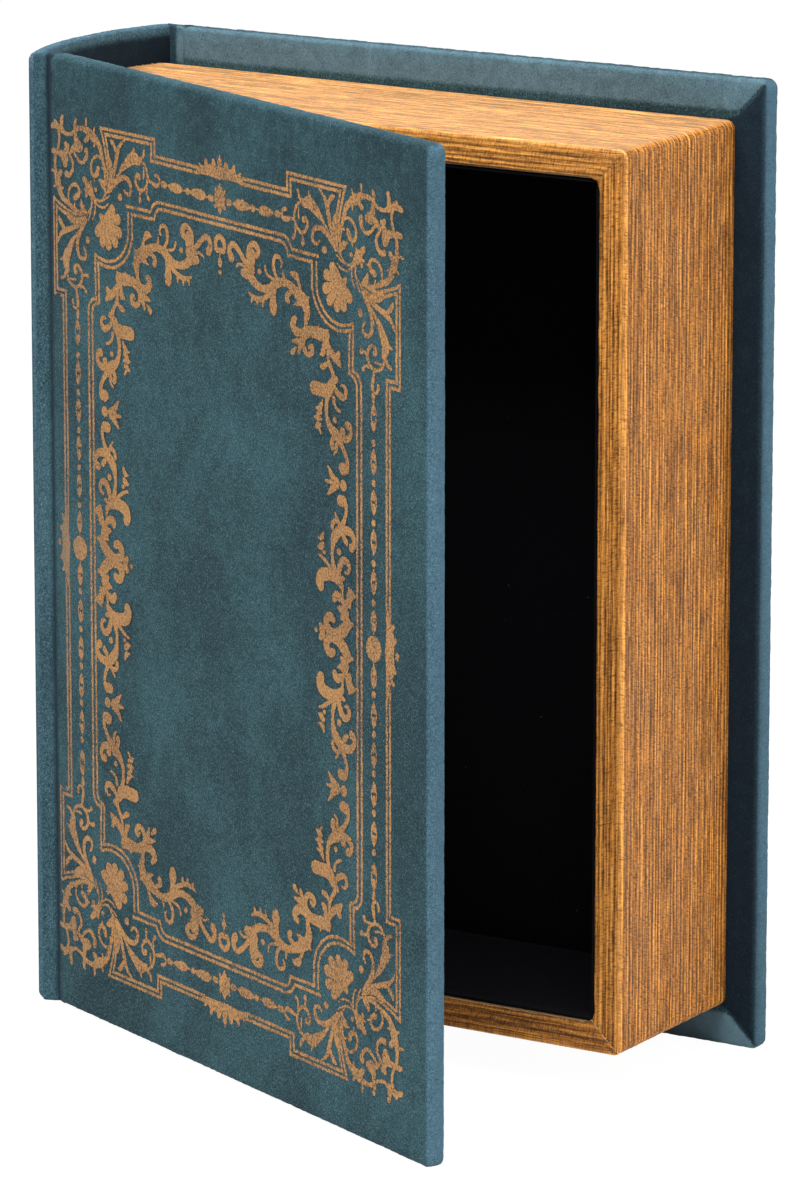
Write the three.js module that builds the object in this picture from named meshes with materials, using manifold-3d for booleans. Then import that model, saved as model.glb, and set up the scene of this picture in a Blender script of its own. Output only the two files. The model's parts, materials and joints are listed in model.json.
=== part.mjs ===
// Book-shaped trinket box, standing upright with its front cover ajar.
// A deep tray with walls of laminated board is glued into a case made like a book's:
// a back cover, a bowed spine and a front cover, all wrapped in one velvet.
// The tray's outside and rim wear ribbed page-edge paper, its inside a black velvet.
// Millimetres. X runs from the spine to the fore-edge, the front faces -Y, Z is up.

import * as THREE from 'three';
import * as BufferGeometryUtils from 'three/addons/utils/BufferGeometryUtils.js';
import Module from 'manifold-3d';

// Case
const coverHeight = 260;
const backCoverReach = 190; // from the spine's corners to the back cover's fore-edge
const foreEdgeStagger = 5; // how far the shut front cover stops short of the back one
const boardThickness = 3.6;
const spineBoardThickness = 2.2;
const spineBow = 6.8; // how far the middle of the spine stands out past its corners
const velvetThickness = 0.5;
const glueLine = 0.3; // clearance between any two pieces that are glued together
const turnIn = 16; // width of the velvet folded over onto the inside of a board
const edgeRadius = 1.6;
const cornerRadius = 2.5;

// Cloth joints beside the spine
const jointWidth = 5;
const jointDip = 1;
const jointClothThickness = 1;
const jointClothSetBack = 0.5; // how far the joint's cloth stops short of head and tail
const openAngle = THREE.MathUtils.degToRad(23.8);

// Tray
const trayDepth = 56;
const headSquare = 11; // overhang of the covers at the top and at the bottom
const foreEdgeSquare = 9.8; // overhang of the back cover at the fore-edge
const wallThickness = 7.5;
const floorThickness = 2.5;
const liningThickness = 0.8;
const pagePaperThickness = 0.4;
const pageCornerRadius = 2.5;
const rimClearance = 0.3; // between the tray's rim and the shut front cover

// What follows from the sizes above
const frontCoverReach = backCoverReach - foreEdgeStagger;
const skin = velvetThickness + glueLine;
const coverThickness = boardThickness + 2 * skin;
const spineThickness = spineBoardThickness + 2 * skin;
const paperSkin = pagePaperThickness + glueLine;

const trayBackY = -(coverThickness + glueLine);
const trayFrontY = trayBackY - trayDepth;
const trayForeX = backCoverReach - foreEdgeSquare;
const trayBottomZ = headSquare;
const trayTopZ = coverHeight - headSquare;
const caseDepth = coverThickness + rimClearance - trayFrontY;

const spineRadius = ((caseDepth / 2) ** 2 + spineBow ** 2) / (2 * spineBow);
const spineCentre = new THREE.Vector2(spineRadius - spineBow, -caseDepth / 2);
const spineHalfAngle = Math.asin(caseDepth / 2 / spineRadius);
const spineInnerRadius = spineRadius - spineThickness;
const trayArcRadius = spineInnerRadius - glueLine;

const spineInnerCornerX = spineCentre.x - spineInnerRadius * Math.cos(spineHalfAngle);
const spineInnerCornerY = spineCentre.y + spineInnerRadius * Math.sin(spineHalfAngle);
const coverStartX = spineInnerCornerX + jointWidth;
const hinge = new THREE.Vector2(spineInnerCornerX + jointWidth / 2, -caseDepth);

const wallFrontY = trayFrontY + paperSkin;
const foreWallX = trayForeX - paperSkin - wallThickness;
const spineWallX = Math.max(trayArcX(trayBackY), trayArcX(trayFrontY));
const interiorLeftX = spineWallX + wallThickness;
const interiorRightX = foreWallX;
const interiorBottomZ = trayBottomZ + paperSkin + wallThickness;
const interiorTopZ = trayTopZ - paperSkin - wallThickness;
const floorBackY = -(skin + boardThickness + glueLine);
const floorFrontY = floorBackY - floorThickness;
const liningBackY = floorFrontY - glueLine - liningThickness;

// Facets
const cornerSteps = 3;
const edgeSteps = 3;
const bowSteps = 8;
const bowFacet = 4.5; // longest facet along the bow of the spine
const jointSteps = 8;
const cutMargin = 1; // how far a cutting body runs past the surface that it cuts

const wasm = await Module();
wasm.setup();

// Materials

function velvet( color ) {

	return new THREE.MeshStandardMaterial( { color, roughness: 0.95, metalness: 0 } );

}

function board( color ) {

	return new THREE.MeshStandardMaterial( { color, roughness: 0.85, metalness: 0 } );

}

function pagePaper() {

	return new THREE.MeshStandardMaterial( { color: 0xb9813f, roughness: 0.6, metalness: 0.1 } );

}

const tealVelvet = velvet( 0x36535f );
const innerTealVelvet = velvet( 0x2f4651 );
const blackVelvet = velvet( 0x08080a );
const coverBoard = board( 0x9a8466 );
const wallBoard = board( 0xa38a68 );

// Joining and cutting

function toSolid( geometry ) {

	const bare = geometry.clone();
	bare.deleteAttribute( 'normal' );
	bare.deleteAttribute( 'uv' );
	const merged = BufferGeometryUtils.mergeVertices( bare, 1e-4 );
	const mesh = new wasm.Mesh( {
		numProp: 3,
		vertProperties: new Float32Array( merged.attributes.position.array ),
		triVerts: new Uint32Array( merged.index.array ),
	} );
	return new wasm.Manifold( mesh );

}

function toGeometry( solid ) {

	const mesh = solid.getMesh();
	const geometry = new THREE.BufferGeometry();
	geometry.setAttribute( 'position', new THREE.BufferAttribute( mesh.vertProperties, 3 ) );
	geometry.setIndex( new THREE.BufferAttribute( mesh.triVerts, 1 ) );
	geometry.computeVertexNormals();
	return geometry;

}

function cut( body, ...tools ) {

	let solid = toSolid( body );
	for ( const tool of tools ) {

		solid = solid.subtract( toSolid( tool ) );

	}

	return toGeometry( solid );

}

// Basic forms

// A box between two opposite corners.
function boxBetween( low, high ) {

	const size = new THREE.Vector3().subVectors( high, low );
	const middle = new THREE.Vector3().addVectors( low, high ).multiplyScalar( 0.5 );
	return new THREE.BoxGeometry( size.x, size.y, size.z ).translate( middle.x, middle.y, middle.z );

}

// A shape drawn from above and raised along Z.
function raise( shape, bottomZ, topZ, curveSegments ) {

	const settings = { depth: topZ - bottomZ, bevelEnabled: false, curveSegments };
	return new THREE.ExtrudeGeometry( shape, settings ).translate( 0, 0, bottomZ );

}

// A shape drawn from the front, with its second coordinate as the height, pushed back to front.
function pushForward( shape, backY, frontY, curveSegments ) {

	const settings = { depth: backY - frontY, bevelEnabled: false, curveSegments };
	return new THREE.ExtrudeGeometry( shape, settings ).rotateX( Math.PI / 2 ).translate( 0, backY, 0 );

}

// A rectangle with its corners rounded; the left ones can stay square.
function roundedRectangle( left, right, bottom, top, radius, leftRadius = radius ) {

	const shape = new THREE.Shape();
	shape.moveTo( left + leftRadius, bottom );
	shape.lineTo( right - radius, bottom );
	shape.absarc( right - radius, bottom + radius, radius, - Math.PI / 2, 0, false );
	shape.lineTo( right, top - radius );
	shape.absarc( right - radius, top - radius, radius, 0, Math.PI / 2, false );
	shape.lineTo( left + leftRadius, top );
	if ( leftRadius > 0 ) {

		shape.absarc( left + leftRadius, top - leftRadius, leftRadius, Math.PI / 2, Math.PI, false );
		shape.lineTo( left, bottom + leftRadius );
		shape.absarc( left + leftRadius, bottom + leftRadius, leftRadius, Math.PI, 1.5 * Math.PI, false );

	}

	return shape;

}

// Extrudes a shape that is drawn edge by edge inwards, so that the bevel brings it to full size.
function extrudeSoft( shape, depth, edge, curveSegments ) {

	return new THREE.ExtrudeGeometry( shape, {
		depth: depth - 2 * edge,
		bevelEnabled: true,
		bevelSize: edge,
		bevelThickness: edge,
		bevelSegments: edgeSteps,
		curveSegments,
	} ).translate( 0, 0, edge );

}

// Covers

// The rounding of an edge of a wrapped board, as deep in the wrapping as an inset.
function softEdge( thickness, inset ) {

	return Math.max( Math.min( edgeRadius, 0.45 * thickness ) - inset, 0.1 );

}

// A cover from the joint to its fore-edge, shrunk by an inset on every side.
// Inwards is the way from its outer face to its inner one: 1 on the front, -1 on the back.
function coverSlab( reach, outerY, inwards, inset ) {

	const edge = softEdge( coverThickness, inset );
	const shrink = inset + edge;
	const outline = roundedRectangle(
		coverStartX + shrink, reach - shrink, shrink, coverHeight - shrink,
		Math.max( cornerRadius - shrink, 0.1 ),
	);
	const backY = ( inwards < 0 ? outerY : outerY + coverThickness ) - inset;
	return extrudeSoft( outline, coverThickness - 2 * inset, edge, cornerSteps )
		.rotateX( Math.PI / 2 )
		.translate( 0, backY, 0 );

}

// The area of bare board that the turn-ins leave open on the inside of a cover.
function bareArea( reach, clearance ) {

	return {
		left: coverStartX + velvetThickness + clearance,
		right: reach - turnIn - clearance,
		bottom: turnIn + clearance,
		top: coverHeight - turnIn - clearance,
	};

}

// A slice of the bare area between two depths, measured from a cover's outer face.
function bareSlice( area, outerY, inwards, fromDepth, toDepth ) {

	const fromY = outerY + inwards * fromDepth;
	const toY = outerY + inwards * toDepth;
	return boxBetween(
		new THREE.Vector3( area.left, Math.min( fromY, toY ), area.bottom ),
		new THREE.Vector3( area.right, Math.max( fromY, toY ), area.top ),
	);

}

function coverVelvet( reach, outerY, inwards ) {

	const boardDepth = coverThickness - skin;
	return cut(
		coverSlab( reach, outerY, inwards, 0 ),
		coverSlab( reach, outerY, inwards, velvetThickness ),
		bareSlice( bareArea( reach, 0 ), outerY, inwards, boardDepth, coverThickness + cutMargin ),
	);

}

// A thin sheet that fills the bare area on the inside of the front cover.
function coverLining( reach, outerY, inwards ) {

	const area = bareArea( reach, glueLine );
	return bareSlice( area, outerY, inwards, coverThickness - velvetThickness, coverThickness );

}

// Spine

// Bends a flat strip onto the bow. The first coordinate runs along the strip from its middle,
// the second is the depth below its outer face.
function bend( point ) {

	const angle = point.x / spineRadius;
	const radius = spineRadius - point.y;
	return new THREE.Vector2(
		spineCentre.x - radius * Math.cos( angle ),
		spineCentre.y + radius * Math.sin( angle ),
	);

}

// Where the tray's end meets the inside of the spine, at a depth in the case.
function trayArcX( y ) {

	return spineCentre.x - Math.sqrt( trayArcRadius ** 2 - ( y - spineCentre.y ) ** 2 );

}

// The section of the bowed strip, shrunk by an inset, with its corners rounded.
function spineSection( inset, rounding ) {

	const half = spineRadius * spineHalfAngle - inset;
	const flat = roundedRectangle( - half, half, inset, spineThickness - inset, rounding );
	const points = flat.curves.flatMap( ( curve ) => {

		const facets = Math.ceil( curve.getLength() / bowFacet );
		return curve.getPoints( curve.isEllipseCurve ? cornerSteps : facets ).slice( 1 );

	} );
	return new THREE.Shape( points.map( bend ) );

}

// The bowed strip with every edge rounded, shrunk by an inset on every side.
function spineStrip( inset ) {

	const edge = softEdge( spineThickness, inset ) / 2;
	const section = spineSection( inset + edge, edge );
	return extrudeSoft( section, coverHeight - 2 * inset, edge, cornerSteps ).translate( 0, 0, inset );

}

// The middle of the spine's inside, where its velvet isn't turned in.
function spineWindow() {

	const reach = spineHalfAngle - skin / spineRadius;
	const shape = new THREE.Shape();
	shape.absarc(
		spineCentre.x, spineCentre.y, spineInnerRadius + skin, Math.PI - reach, Math.PI + reach, false,
	);
	shape.lineTo( spineCentre.x, spineCentre.y );
	return raise( shape, turnIn, coverHeight - turnIn, bowSteps );

}

function spineVelvet() {

	return cut( spineStrip( 0 ), spineStrip( velvetThickness ), spineWindow() );

}

// Cloth joints

// A strip of cloth that dips between the spine and a cover. Seen from above, it turns about
// the hinge along its width, from not at all at the spine to the cover's own angle.
function jointCloth( outerY, inwards, angle ) {

	const seamY = outerY + inwards * Math.abs( spineInnerCornerY );
	const outerSide = [];
	const innerSide = [];
	for ( let step = 0; step <= jointSteps; step ++ ) {

		const along = step / jointSteps;
		const x = THREE.MathUtils.lerp( spineInnerCornerX + glueLine, coverStartX - glueLine, along );
		const y = seamY + inwards * jointDip * ( 1 - Math.cos( 2 * Math.PI * along ) ) / 2;
		const turn = - angle * THREE.MathUtils.smoothstep( along, 0, 1 );
		const half = inwards * jointClothThickness / 2;
		outerSide.push( new THREE.Vector2( x, y - half ).rotateAround( hinge, turn ) );
		innerSide.unshift( new THREE.Vector2( x, y + half ).rotateAround( hinge, turn ) );

	}

	const shape = new THREE.Shape( [ ...outerSide, ...innerSide ] );
	return raise( shape, jointClothSetBack, coverHeight - jointClothSetBack, 1 );

}

function hingeCloth() {

	return jointCloth( - caseDepth, 1, openAngle );

}

function backJointCloth() {

	return jointCloth( 0, - 1, 0 );

}

// Tray

// The tray seen from above: its spine end follows the bow, its other end is straight.
function trayPlan( rightX, backY, frontY ) {

	const backAngle = Math.asin( ( backY - spineCentre.y ) / trayArcRadius );
	const frontAngle = Math.asin( ( frontY - spineCentre.y ) / trayArcRadius );
	const shape = new THREE.Shape();
	shape.moveTo( rightX, frontY );
	shape.lineTo( rightX, backY );
	shape.absarc(
		spineCentre.x, spineCentre.y, trayArcRadius, Math.PI - backAngle, Math.PI - frontAngle, false,
	);
	return shape;

}

function headWall( bottomZ ) {

	const plan = trayPlan( foreWallX - glueLine, trayBackY, wallFrontY );
	return raise( plan, bottomZ, bottomZ + wallThickness, bowSteps );

}

function foreEdgeWall() {

	const outline = roundedRectangle(
		foreWallX, foreWallX + wallThickness,
		trayBottomZ + paperSkin, trayTopZ - paperSkin,
		Math.max( pageCornerRadius - paperSkin, 0.1 ), 0,
	);
	return pushForward( outline, trayBackY, wallFrontY, cornerSteps );

}

function spineWall() {

	return boxBetween(
		new THREE.Vector3( spineWallX, wallFrontY, interiorBottomZ + glueLine ),
		new THREE.Vector3( interiorLeftX, trayBackY, interiorTopZ - glueLine ),
	);

}

function floorPanel() {

	const area = bareArea( backCoverReach, glueLine );
	return boxBetween(
		new THREE.Vector3(
			Math.max( area.left, interiorLeftX + glueLine ),
			floorFrontY,
			Math.max( area.bottom, interiorBottomZ + glueLine ),
		),
		new THREE.Vector3(
			Math.min( area.right, interiorRightX - glueLine ),
			floorBackY,
			Math.min( area.top, interiorTopZ - glueLine ),
		),
	);

}

// One sheet over the top, the fore-edge and the bottom, turned over onto the rim.
function pageEdgePaper() {

	const farLeft = spineCentre.x - spineRadius - cutMargin;
	const outside = roundedRectangle( farLeft, trayForeX, trayBottomZ, trayTopZ, pageCornerRadius, 0 );
	const inside = roundedRectangle(
		farLeft - cutMargin, trayForeX - pagePaperThickness,
		trayBottomZ + pagePaperThickness, trayTopZ - pagePaperThickness,
		pageCornerRadius - pagePaperThickness, 0,
	);
	const opening = boxBetween(
		new THREE.Vector3( interiorLeftX, trayFrontY - cutMargin, interiorBottomZ ),
		new THREE.Vector3( interiorRightX, trayBackY + cutMargin, interiorTopZ ),
	);
	const plan = raise(
		trayPlan( trayForeX + cutMargin, trayBackY, trayFrontY ),
		trayBottomZ - cutMargin, trayTopZ + cutMargin, bowSteps,
	);
	const block = pushForward( outside, trayBackY, trayFrontY, cornerSteps );
	const core = pushForward( inside, trayBackY + cutMargin, trayFrontY + pagePaperThickness, cornerSteps );
	const shaped = toSolid( block ).intersect( toSolid( plan ) );
	return toGeometry( shaped.subtract( toSolid( core ) ).subtract( toSolid( opening ) ) );

}

function floorLining() {

	return boxBetween(
		new THREE.Vector3( interiorLeftX + glueLine, liningBackY, interiorBottomZ + glueLine ),
		new THREE.Vector3( interiorRightX - glueLine, liningBackY + liningThickness, interiorTopZ - glueLine ),
	);

}

// The lining of the top or the bottom wall, over the tray's whole width.
function headLining( bottomZ ) {

	return boxBetween(
		new THREE.Vector3( interiorLeftX + glueLine, wallFrontY, bottomZ ),
		new THREE.Vector3( interiorRightX - glueLine, liningBackY - glueLine, bottomZ + liningThickness ),
	);

}

// The lining of the spine wall or the fore-edge wall, between the other two.
function sideLining( leftX ) {

	const inset = 2 * glueLine + liningThickness;
	return boxBetween(
		new THREE.Vector3( leftX, wallFrontY, interiorBottomZ + inset ),
		new THREE.Vector3( leftX + liningThickness, liningBackY - glueLine, interiorTopZ - inset ),
	);

}

// Assembly

function piece( name, geometry, material ) {

	const mesh = new THREE.Mesh( geometry, material );
	mesh.name = name;
	return mesh;

}

function backCover() {

	const group = new THREE.Group();
	group.add(
		piece( 'back_board', coverSlab( backCoverReach, 0, - 1, skin ), coverBoard ),
		piece( 'back_velvet', coverVelvet( backCoverReach, 0, - 1 ), tealVelvet ),
		piece( 'back_joint_velvet', backJointCloth(), tealVelvet ),
	);
	return group;

}

function spine() {

	const group = new THREE.Group();
	group.add(
		piece( 'spine_board', spineStrip( skin ), coverBoard ),
		piece( 'spine_velvet', spineVelvet(), innerTealVelvet ),
	);
	return group;

}

function tray() {

	const group = new THREE.Group();
	const topLiningZ = interiorTopZ - glueLine - liningThickness;
	group.add(
		piece( 'tray_wall_top', headWall( interiorTopZ ), wallBoard ),
		piece( 'tray_wall_bottom', headWall( trayBottomZ + paperSkin ), wallBoard ),
		piece( 'tray_wall_fore_edge', foreEdgeWall(), wallBoard ),
		piece( 'tray_wall_spine', spineWall(), wallBoard ),
		piece( 'tray_floor', floorPanel(), wallBoard ),
		piece( 'page_edge_paper', pageEdgePaper(), pagePaper() ),
		piece( 'lining_floor', floorLining(), blackVelvet ),
		piece( 'lining_top', headLining( topLiningZ ), blackVelvet ),
		piece( 'lining_bottom', headLining( interiorBottomZ + glueLine ), blackVelvet ),
		piece( 'lining_fore_edge', sideLining( interiorRightX - glueLine - liningThickness ), blackVelvet ),
		piece( 'lining_spine', sideLining( interiorLeftX + glueLine ), blackVelvet ),
	);
	return group;

}

// The front cover, built shut and then swung open about the middle of its cloth joint.
function frontCover() {

	const shut = new THREE.Group();
	shut.position.set( - hinge.x, - hinge.y, 0 );
	shut.add(
		piece( 'front_board', coverSlab( frontCoverReach, - caseDepth, 1, skin ), coverBoard ),
		piece( 'front_velvet', coverVelvet( frontCoverReach, - caseDepth, 1 ), tealVelvet ),
		piece( 'front_lining', coverLining( frontCoverReach, - caseDepth, 1 ), blackVelvet ),
	);
	const swung = new THREE.Group();
	swung.position.set( hinge.x, hinge.y, 0 );
	swung.rotation.z = - openAngle;
	swung.add( shut );
	return swung;

}

const book = new THREE.Group();
book.add( backCover(), spine(), tray(), frontCover(), piece( 'hinge_velvet', hingeCloth(), tealVelvet ) );

// The origin is under the middle of the whole box, at the height that it stands on.
const extent = new THREE.Box3().setFromObject( book, true );
const middle = extent.getCenter( new THREE.Vector3() );
book.position.set( - middle.x, - middle.y, - extent.min.z );
book.updateMatrixWorld( true );

export default book;
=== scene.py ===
"""Book-shaped trinket box: velvet, page-edge paper, linings and print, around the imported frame.

Lengths are in millimetres, and MM turns them into the metres that Blender works in.
"""

import json
import logging
import math
import random
from dataclasses import dataclass
from enum import Enum
from typing import Any, Sequence

import bmesh
import bpy
from mathutils import Matrix, Vector, noise
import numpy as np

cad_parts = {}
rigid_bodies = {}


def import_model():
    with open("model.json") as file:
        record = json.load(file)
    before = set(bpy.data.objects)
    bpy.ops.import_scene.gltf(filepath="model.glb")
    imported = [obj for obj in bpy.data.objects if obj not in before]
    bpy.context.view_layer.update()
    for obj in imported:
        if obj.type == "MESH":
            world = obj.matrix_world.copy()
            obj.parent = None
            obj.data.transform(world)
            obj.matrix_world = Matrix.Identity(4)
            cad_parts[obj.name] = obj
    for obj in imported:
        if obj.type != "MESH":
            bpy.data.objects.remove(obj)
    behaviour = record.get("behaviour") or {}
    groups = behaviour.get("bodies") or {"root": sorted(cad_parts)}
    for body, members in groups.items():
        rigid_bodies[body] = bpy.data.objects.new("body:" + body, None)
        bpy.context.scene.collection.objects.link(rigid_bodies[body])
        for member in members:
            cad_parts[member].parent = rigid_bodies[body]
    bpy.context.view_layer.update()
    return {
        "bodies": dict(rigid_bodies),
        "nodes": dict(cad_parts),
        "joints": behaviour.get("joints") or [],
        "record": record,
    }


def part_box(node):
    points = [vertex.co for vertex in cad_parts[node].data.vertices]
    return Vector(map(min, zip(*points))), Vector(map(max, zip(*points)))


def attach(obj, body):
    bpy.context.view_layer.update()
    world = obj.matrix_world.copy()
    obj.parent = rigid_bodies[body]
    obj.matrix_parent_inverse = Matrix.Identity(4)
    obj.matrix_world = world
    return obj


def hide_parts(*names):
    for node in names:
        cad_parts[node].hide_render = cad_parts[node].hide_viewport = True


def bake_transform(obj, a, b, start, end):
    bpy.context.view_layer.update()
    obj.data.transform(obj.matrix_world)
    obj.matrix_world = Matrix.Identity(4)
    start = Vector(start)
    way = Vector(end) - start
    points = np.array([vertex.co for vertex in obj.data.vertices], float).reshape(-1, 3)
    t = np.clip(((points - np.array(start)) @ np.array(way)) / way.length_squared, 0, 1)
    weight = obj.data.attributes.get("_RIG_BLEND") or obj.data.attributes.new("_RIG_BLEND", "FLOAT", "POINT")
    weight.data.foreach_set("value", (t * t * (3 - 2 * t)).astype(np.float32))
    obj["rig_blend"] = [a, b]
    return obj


LOG = logging.getLogger("book_box")
MM = 0.001

CASE = "case_and_tray"
COVER = "front_cover"
HINGE = "cover_hinge"

# Places nearer to each other than this, in millimetres, count as one.
HAIR = 1e-3

# Fixes Blender's noise, which otherwise starts from the clock, so that each run is the same.
NOISE_SEED = 5

Colour = tuple[float, float, float, float]


# Colours


def srgb(red: float, green: float, blue: float) -> Colour:
    """Turns a colour as seen on screen into a linear one.

    Args:
        red: Red from 0 to 255.
        green: Green from 0 to 255.
        blue: Blue from 0 to 255.

    Returns:
        The linear colour with full opacity.
    """
    def linear(channel: float) -> float:
        """The linear strength of one channel."""
        share = channel / 255
        return share / 12.92 if share <= 0.04045 else ((share + 0.055) / 1.055) ** 2.4

    return linear(red), linear(green), linear(blue), 1.0


# Shader expressions


class Value:
    """A number in a material, with Python's operators standing for Math nodes."""

    def __init__(self, graph: "Graph", socket: bpy.types.NodeSocket) -> None:
        """Wraps a socket of a graph."""
        self.graph = graph
        self.socket = socket

    def _with(self, operation: str, *others: Any) -> "Value":
        """The result of a Math node on this value and others."""
        return self.graph.math(operation, self, *others)

    def __add__(self, other: Any) -> "Value":
        """This value plus another."""
        return self._with("ADD", other)

    def __sub__(self, other: Any) -> "Value":
        """This value less another."""
        return self._with("SUBTRACT", other)

    def __rsub__(self, other: Any) -> "Value":
        """Another value less this one."""
        return self.graph.math("SUBTRACT", other, self)

    def __mul__(self, other: Any) -> "Value":
        """This value times another."""
        return self._with("MULTIPLY", other)

    __radd__ = __add__
    __rmul__ = __mul__

    def step(self, low: float, high: float) -> "Value":
        """How far this value has come from low to high, smoothly from 0 to 1.

        Args:
            low: The value that gives 0.
            high: The value that gives 1.

        Returns:
            The eased share.
        """
        settings = {"interpolation_type": "SMOOTHSTEP"}
        made = self.graph.node("ShaderNodeMapRange", settings, {0: self, 1: low, 2: high})
        return Value(self.graph, made.outputs[0])


class Graph:
    """The node tree of one material, with one method that adds any node."""

    def __init__(self, name: str) -> None:
        """Starts an empty material of that name."""
        self.material = bpy.data.materials.new(name)
        self.material.use_nodes = True
        self.tree = self.material.node_tree
        self.tree.nodes.clear()

    def node(self, kind: str, settings: dict[str, Any], inputs: dict[Any, Any]) -> bpy.types.Node:
        """Adds a node.

        Args:
            kind: The node's type.
            settings: Its own properties, set first. A ramp's stops pair a place and a colour.
            inputs: Values or links of its sockets, by name or number.

        Returns:
            The node.
        """
        made = self.tree.nodes.new(kind)
        for name, setting in settings.items():
            if name == "stops":
                self._set_stops(made.color_ramp, setting)
            else:
                setattr(made, name, setting)
        for key, given in inputs.items():
            if isinstance(given, Value):
                given = given.socket
            if isinstance(given, bpy.types.NodeSocket):
                self.tree.links.new(given, made.inputs[key])
            else:
                made.inputs[key].default_value = given
        return made

    @staticmethod
    def _set_stops(ramp: bpy.types.ColorRamp, stops: Sequence[tuple[float, Colour]]) -> None:
        """Gives a ramp its stops.

        Args:
            ramp: The ramp, with its two first stops.
            stops: Pairs of a place and a colour, from low to high.
        """
        while len(ramp.elements) < len(stops):
            ramp.elements.new(1.0)
        for element, (place, colour) in zip(ramp.elements, stops):
            element.position = place
            element.color = colour

    def math(self, operation: str, *values: Any) -> Value:
        """The result of a Math node on some values."""
        made = self.node("ShaderNodeMath", {"operation": operation}, dict(enumerate(values)))
        return Value(self, made.outputs[0])

    def place(self, turn: float = 0.0, stretch: Sequence[float] = (1, 1, 1),
              source: str = "Object") -> bpy.types.NodeSocket:
        """Coordinates, turned about the upright axis and then stretched.

        Args:
            turn: The turn in radians.
            stretch: The scale along each axis after the turn.
            source: Which coordinates: the object's, or the UV map's along and across a sheet.

        Returns:
            The coordinates' socket.
        """
        place = self.node("ShaderNodeTexCoord", {}, {}).outputs[source]
        for change in ({"Rotation": (0, 0, turn)}, {"Scale": tuple(stretch)}):
            place = self.node("ShaderNodeMapping", {}, {"Vector": place, **change}).outputs[0]
        return place

    def sheet_place(self, stretch: Sequence[float], turn: float = 0.0) -> bpy.types.NodeSocket:
        """Metres along and across a sheet, from its own UV map, turned and stretched."""
        return self.place(turn, stretch, "UV")

    def grain(self, where: bpy.types.NodeSocket, scale: float, detail: float = 2.0,
              roughness: float = 0.5, distortion: float = 0.0) -> Value:
        """Noise between 0 and 1.

        Args:
            where: The coordinates that it reads.
            scale: Its number of features per unit.
            detail: Its number of finer layers.
            roughness: The strength of the finer layers.
            distortion: How much it is swirled.

        Returns:
            The noise.
        """
        inputs = {"Vector": where, "Scale": scale, "Detail": detail, "Roughness": roughness,
                  "Distortion": distortion}
        return Value(self, self.node("ShaderNodeTexNoise", {}, inputs).outputs[0])

    def attribute(self, name: str) -> Value:
        """A number that each point of the piece carries."""
        made = self.node("ShaderNodeAttribute", {"attribute_name": name}, {})
        return Value(self, made.outputs["Fac"])

    def mix(self, share: Any, first: Any, second: Any) -> bpy.types.NodeSocket:
        """Mixes two colours.

        Args:
            share: How much of the second, from 0 to 1.
            first: A colour or a link.
            second: A colour or a link.

        Returns:
            The mixed colour's socket.
        """
        inputs = {0: share, 6: first, 7: second}
        return self.node("ShaderNodeMix", {"data_type": "RGBA"}, inputs).outputs[2]

    def ramp(self, value: Value, stops: Sequence[tuple[float, Colour]]) -> bpy.types.NodeSocket:
        """The colour of a ramp at a value."""
        return self.node("ShaderNodeValToRGB", {"stops": stops}, {0: value}).outputs[0]

    def shaded(self, colour: bpy.types.NodeSocket, light: Value) -> bpy.types.NodeSocket:
        """A colour made lighter or darker by a factor."""
        inputs = {0: colour, "Scale": light}
        return self.node("ShaderNodeVectorMath", {"operation": "SCALE"}, inputs).outputs[0]

    def bump(self, height: Value, depth: float, strength: float = 1.0) -> bpy.types.NodeSocket:
        """A normal roughened by a height.

        Args:
            height: The height from 0 to 1.
            depth: What a height of 1 stands for, in millimetres.
            strength: How much of it shows.

        Returns:
            The normal's socket.
        """
        inputs = {"Height": height, "Distance": depth * MM, "Strength": strength}
        return self.node("ShaderNodeBump", {}, inputs).outputs[0]

    def finish(self, inputs: dict[str, Any]) -> bpy.types.Material:
        """Ends the tree with a surface shader.

        Args:
            inputs: Values or links of the shader's sockets.

        Returns:
            The material.
        """
        surface = self.node("ShaderNodeBsdfPrincipled", {}, inputs)
        self.node("ShaderNodeOutputMaterial", {}, {"Surface": surface.outputs[0]})
        return self.material


# Finishes


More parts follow.
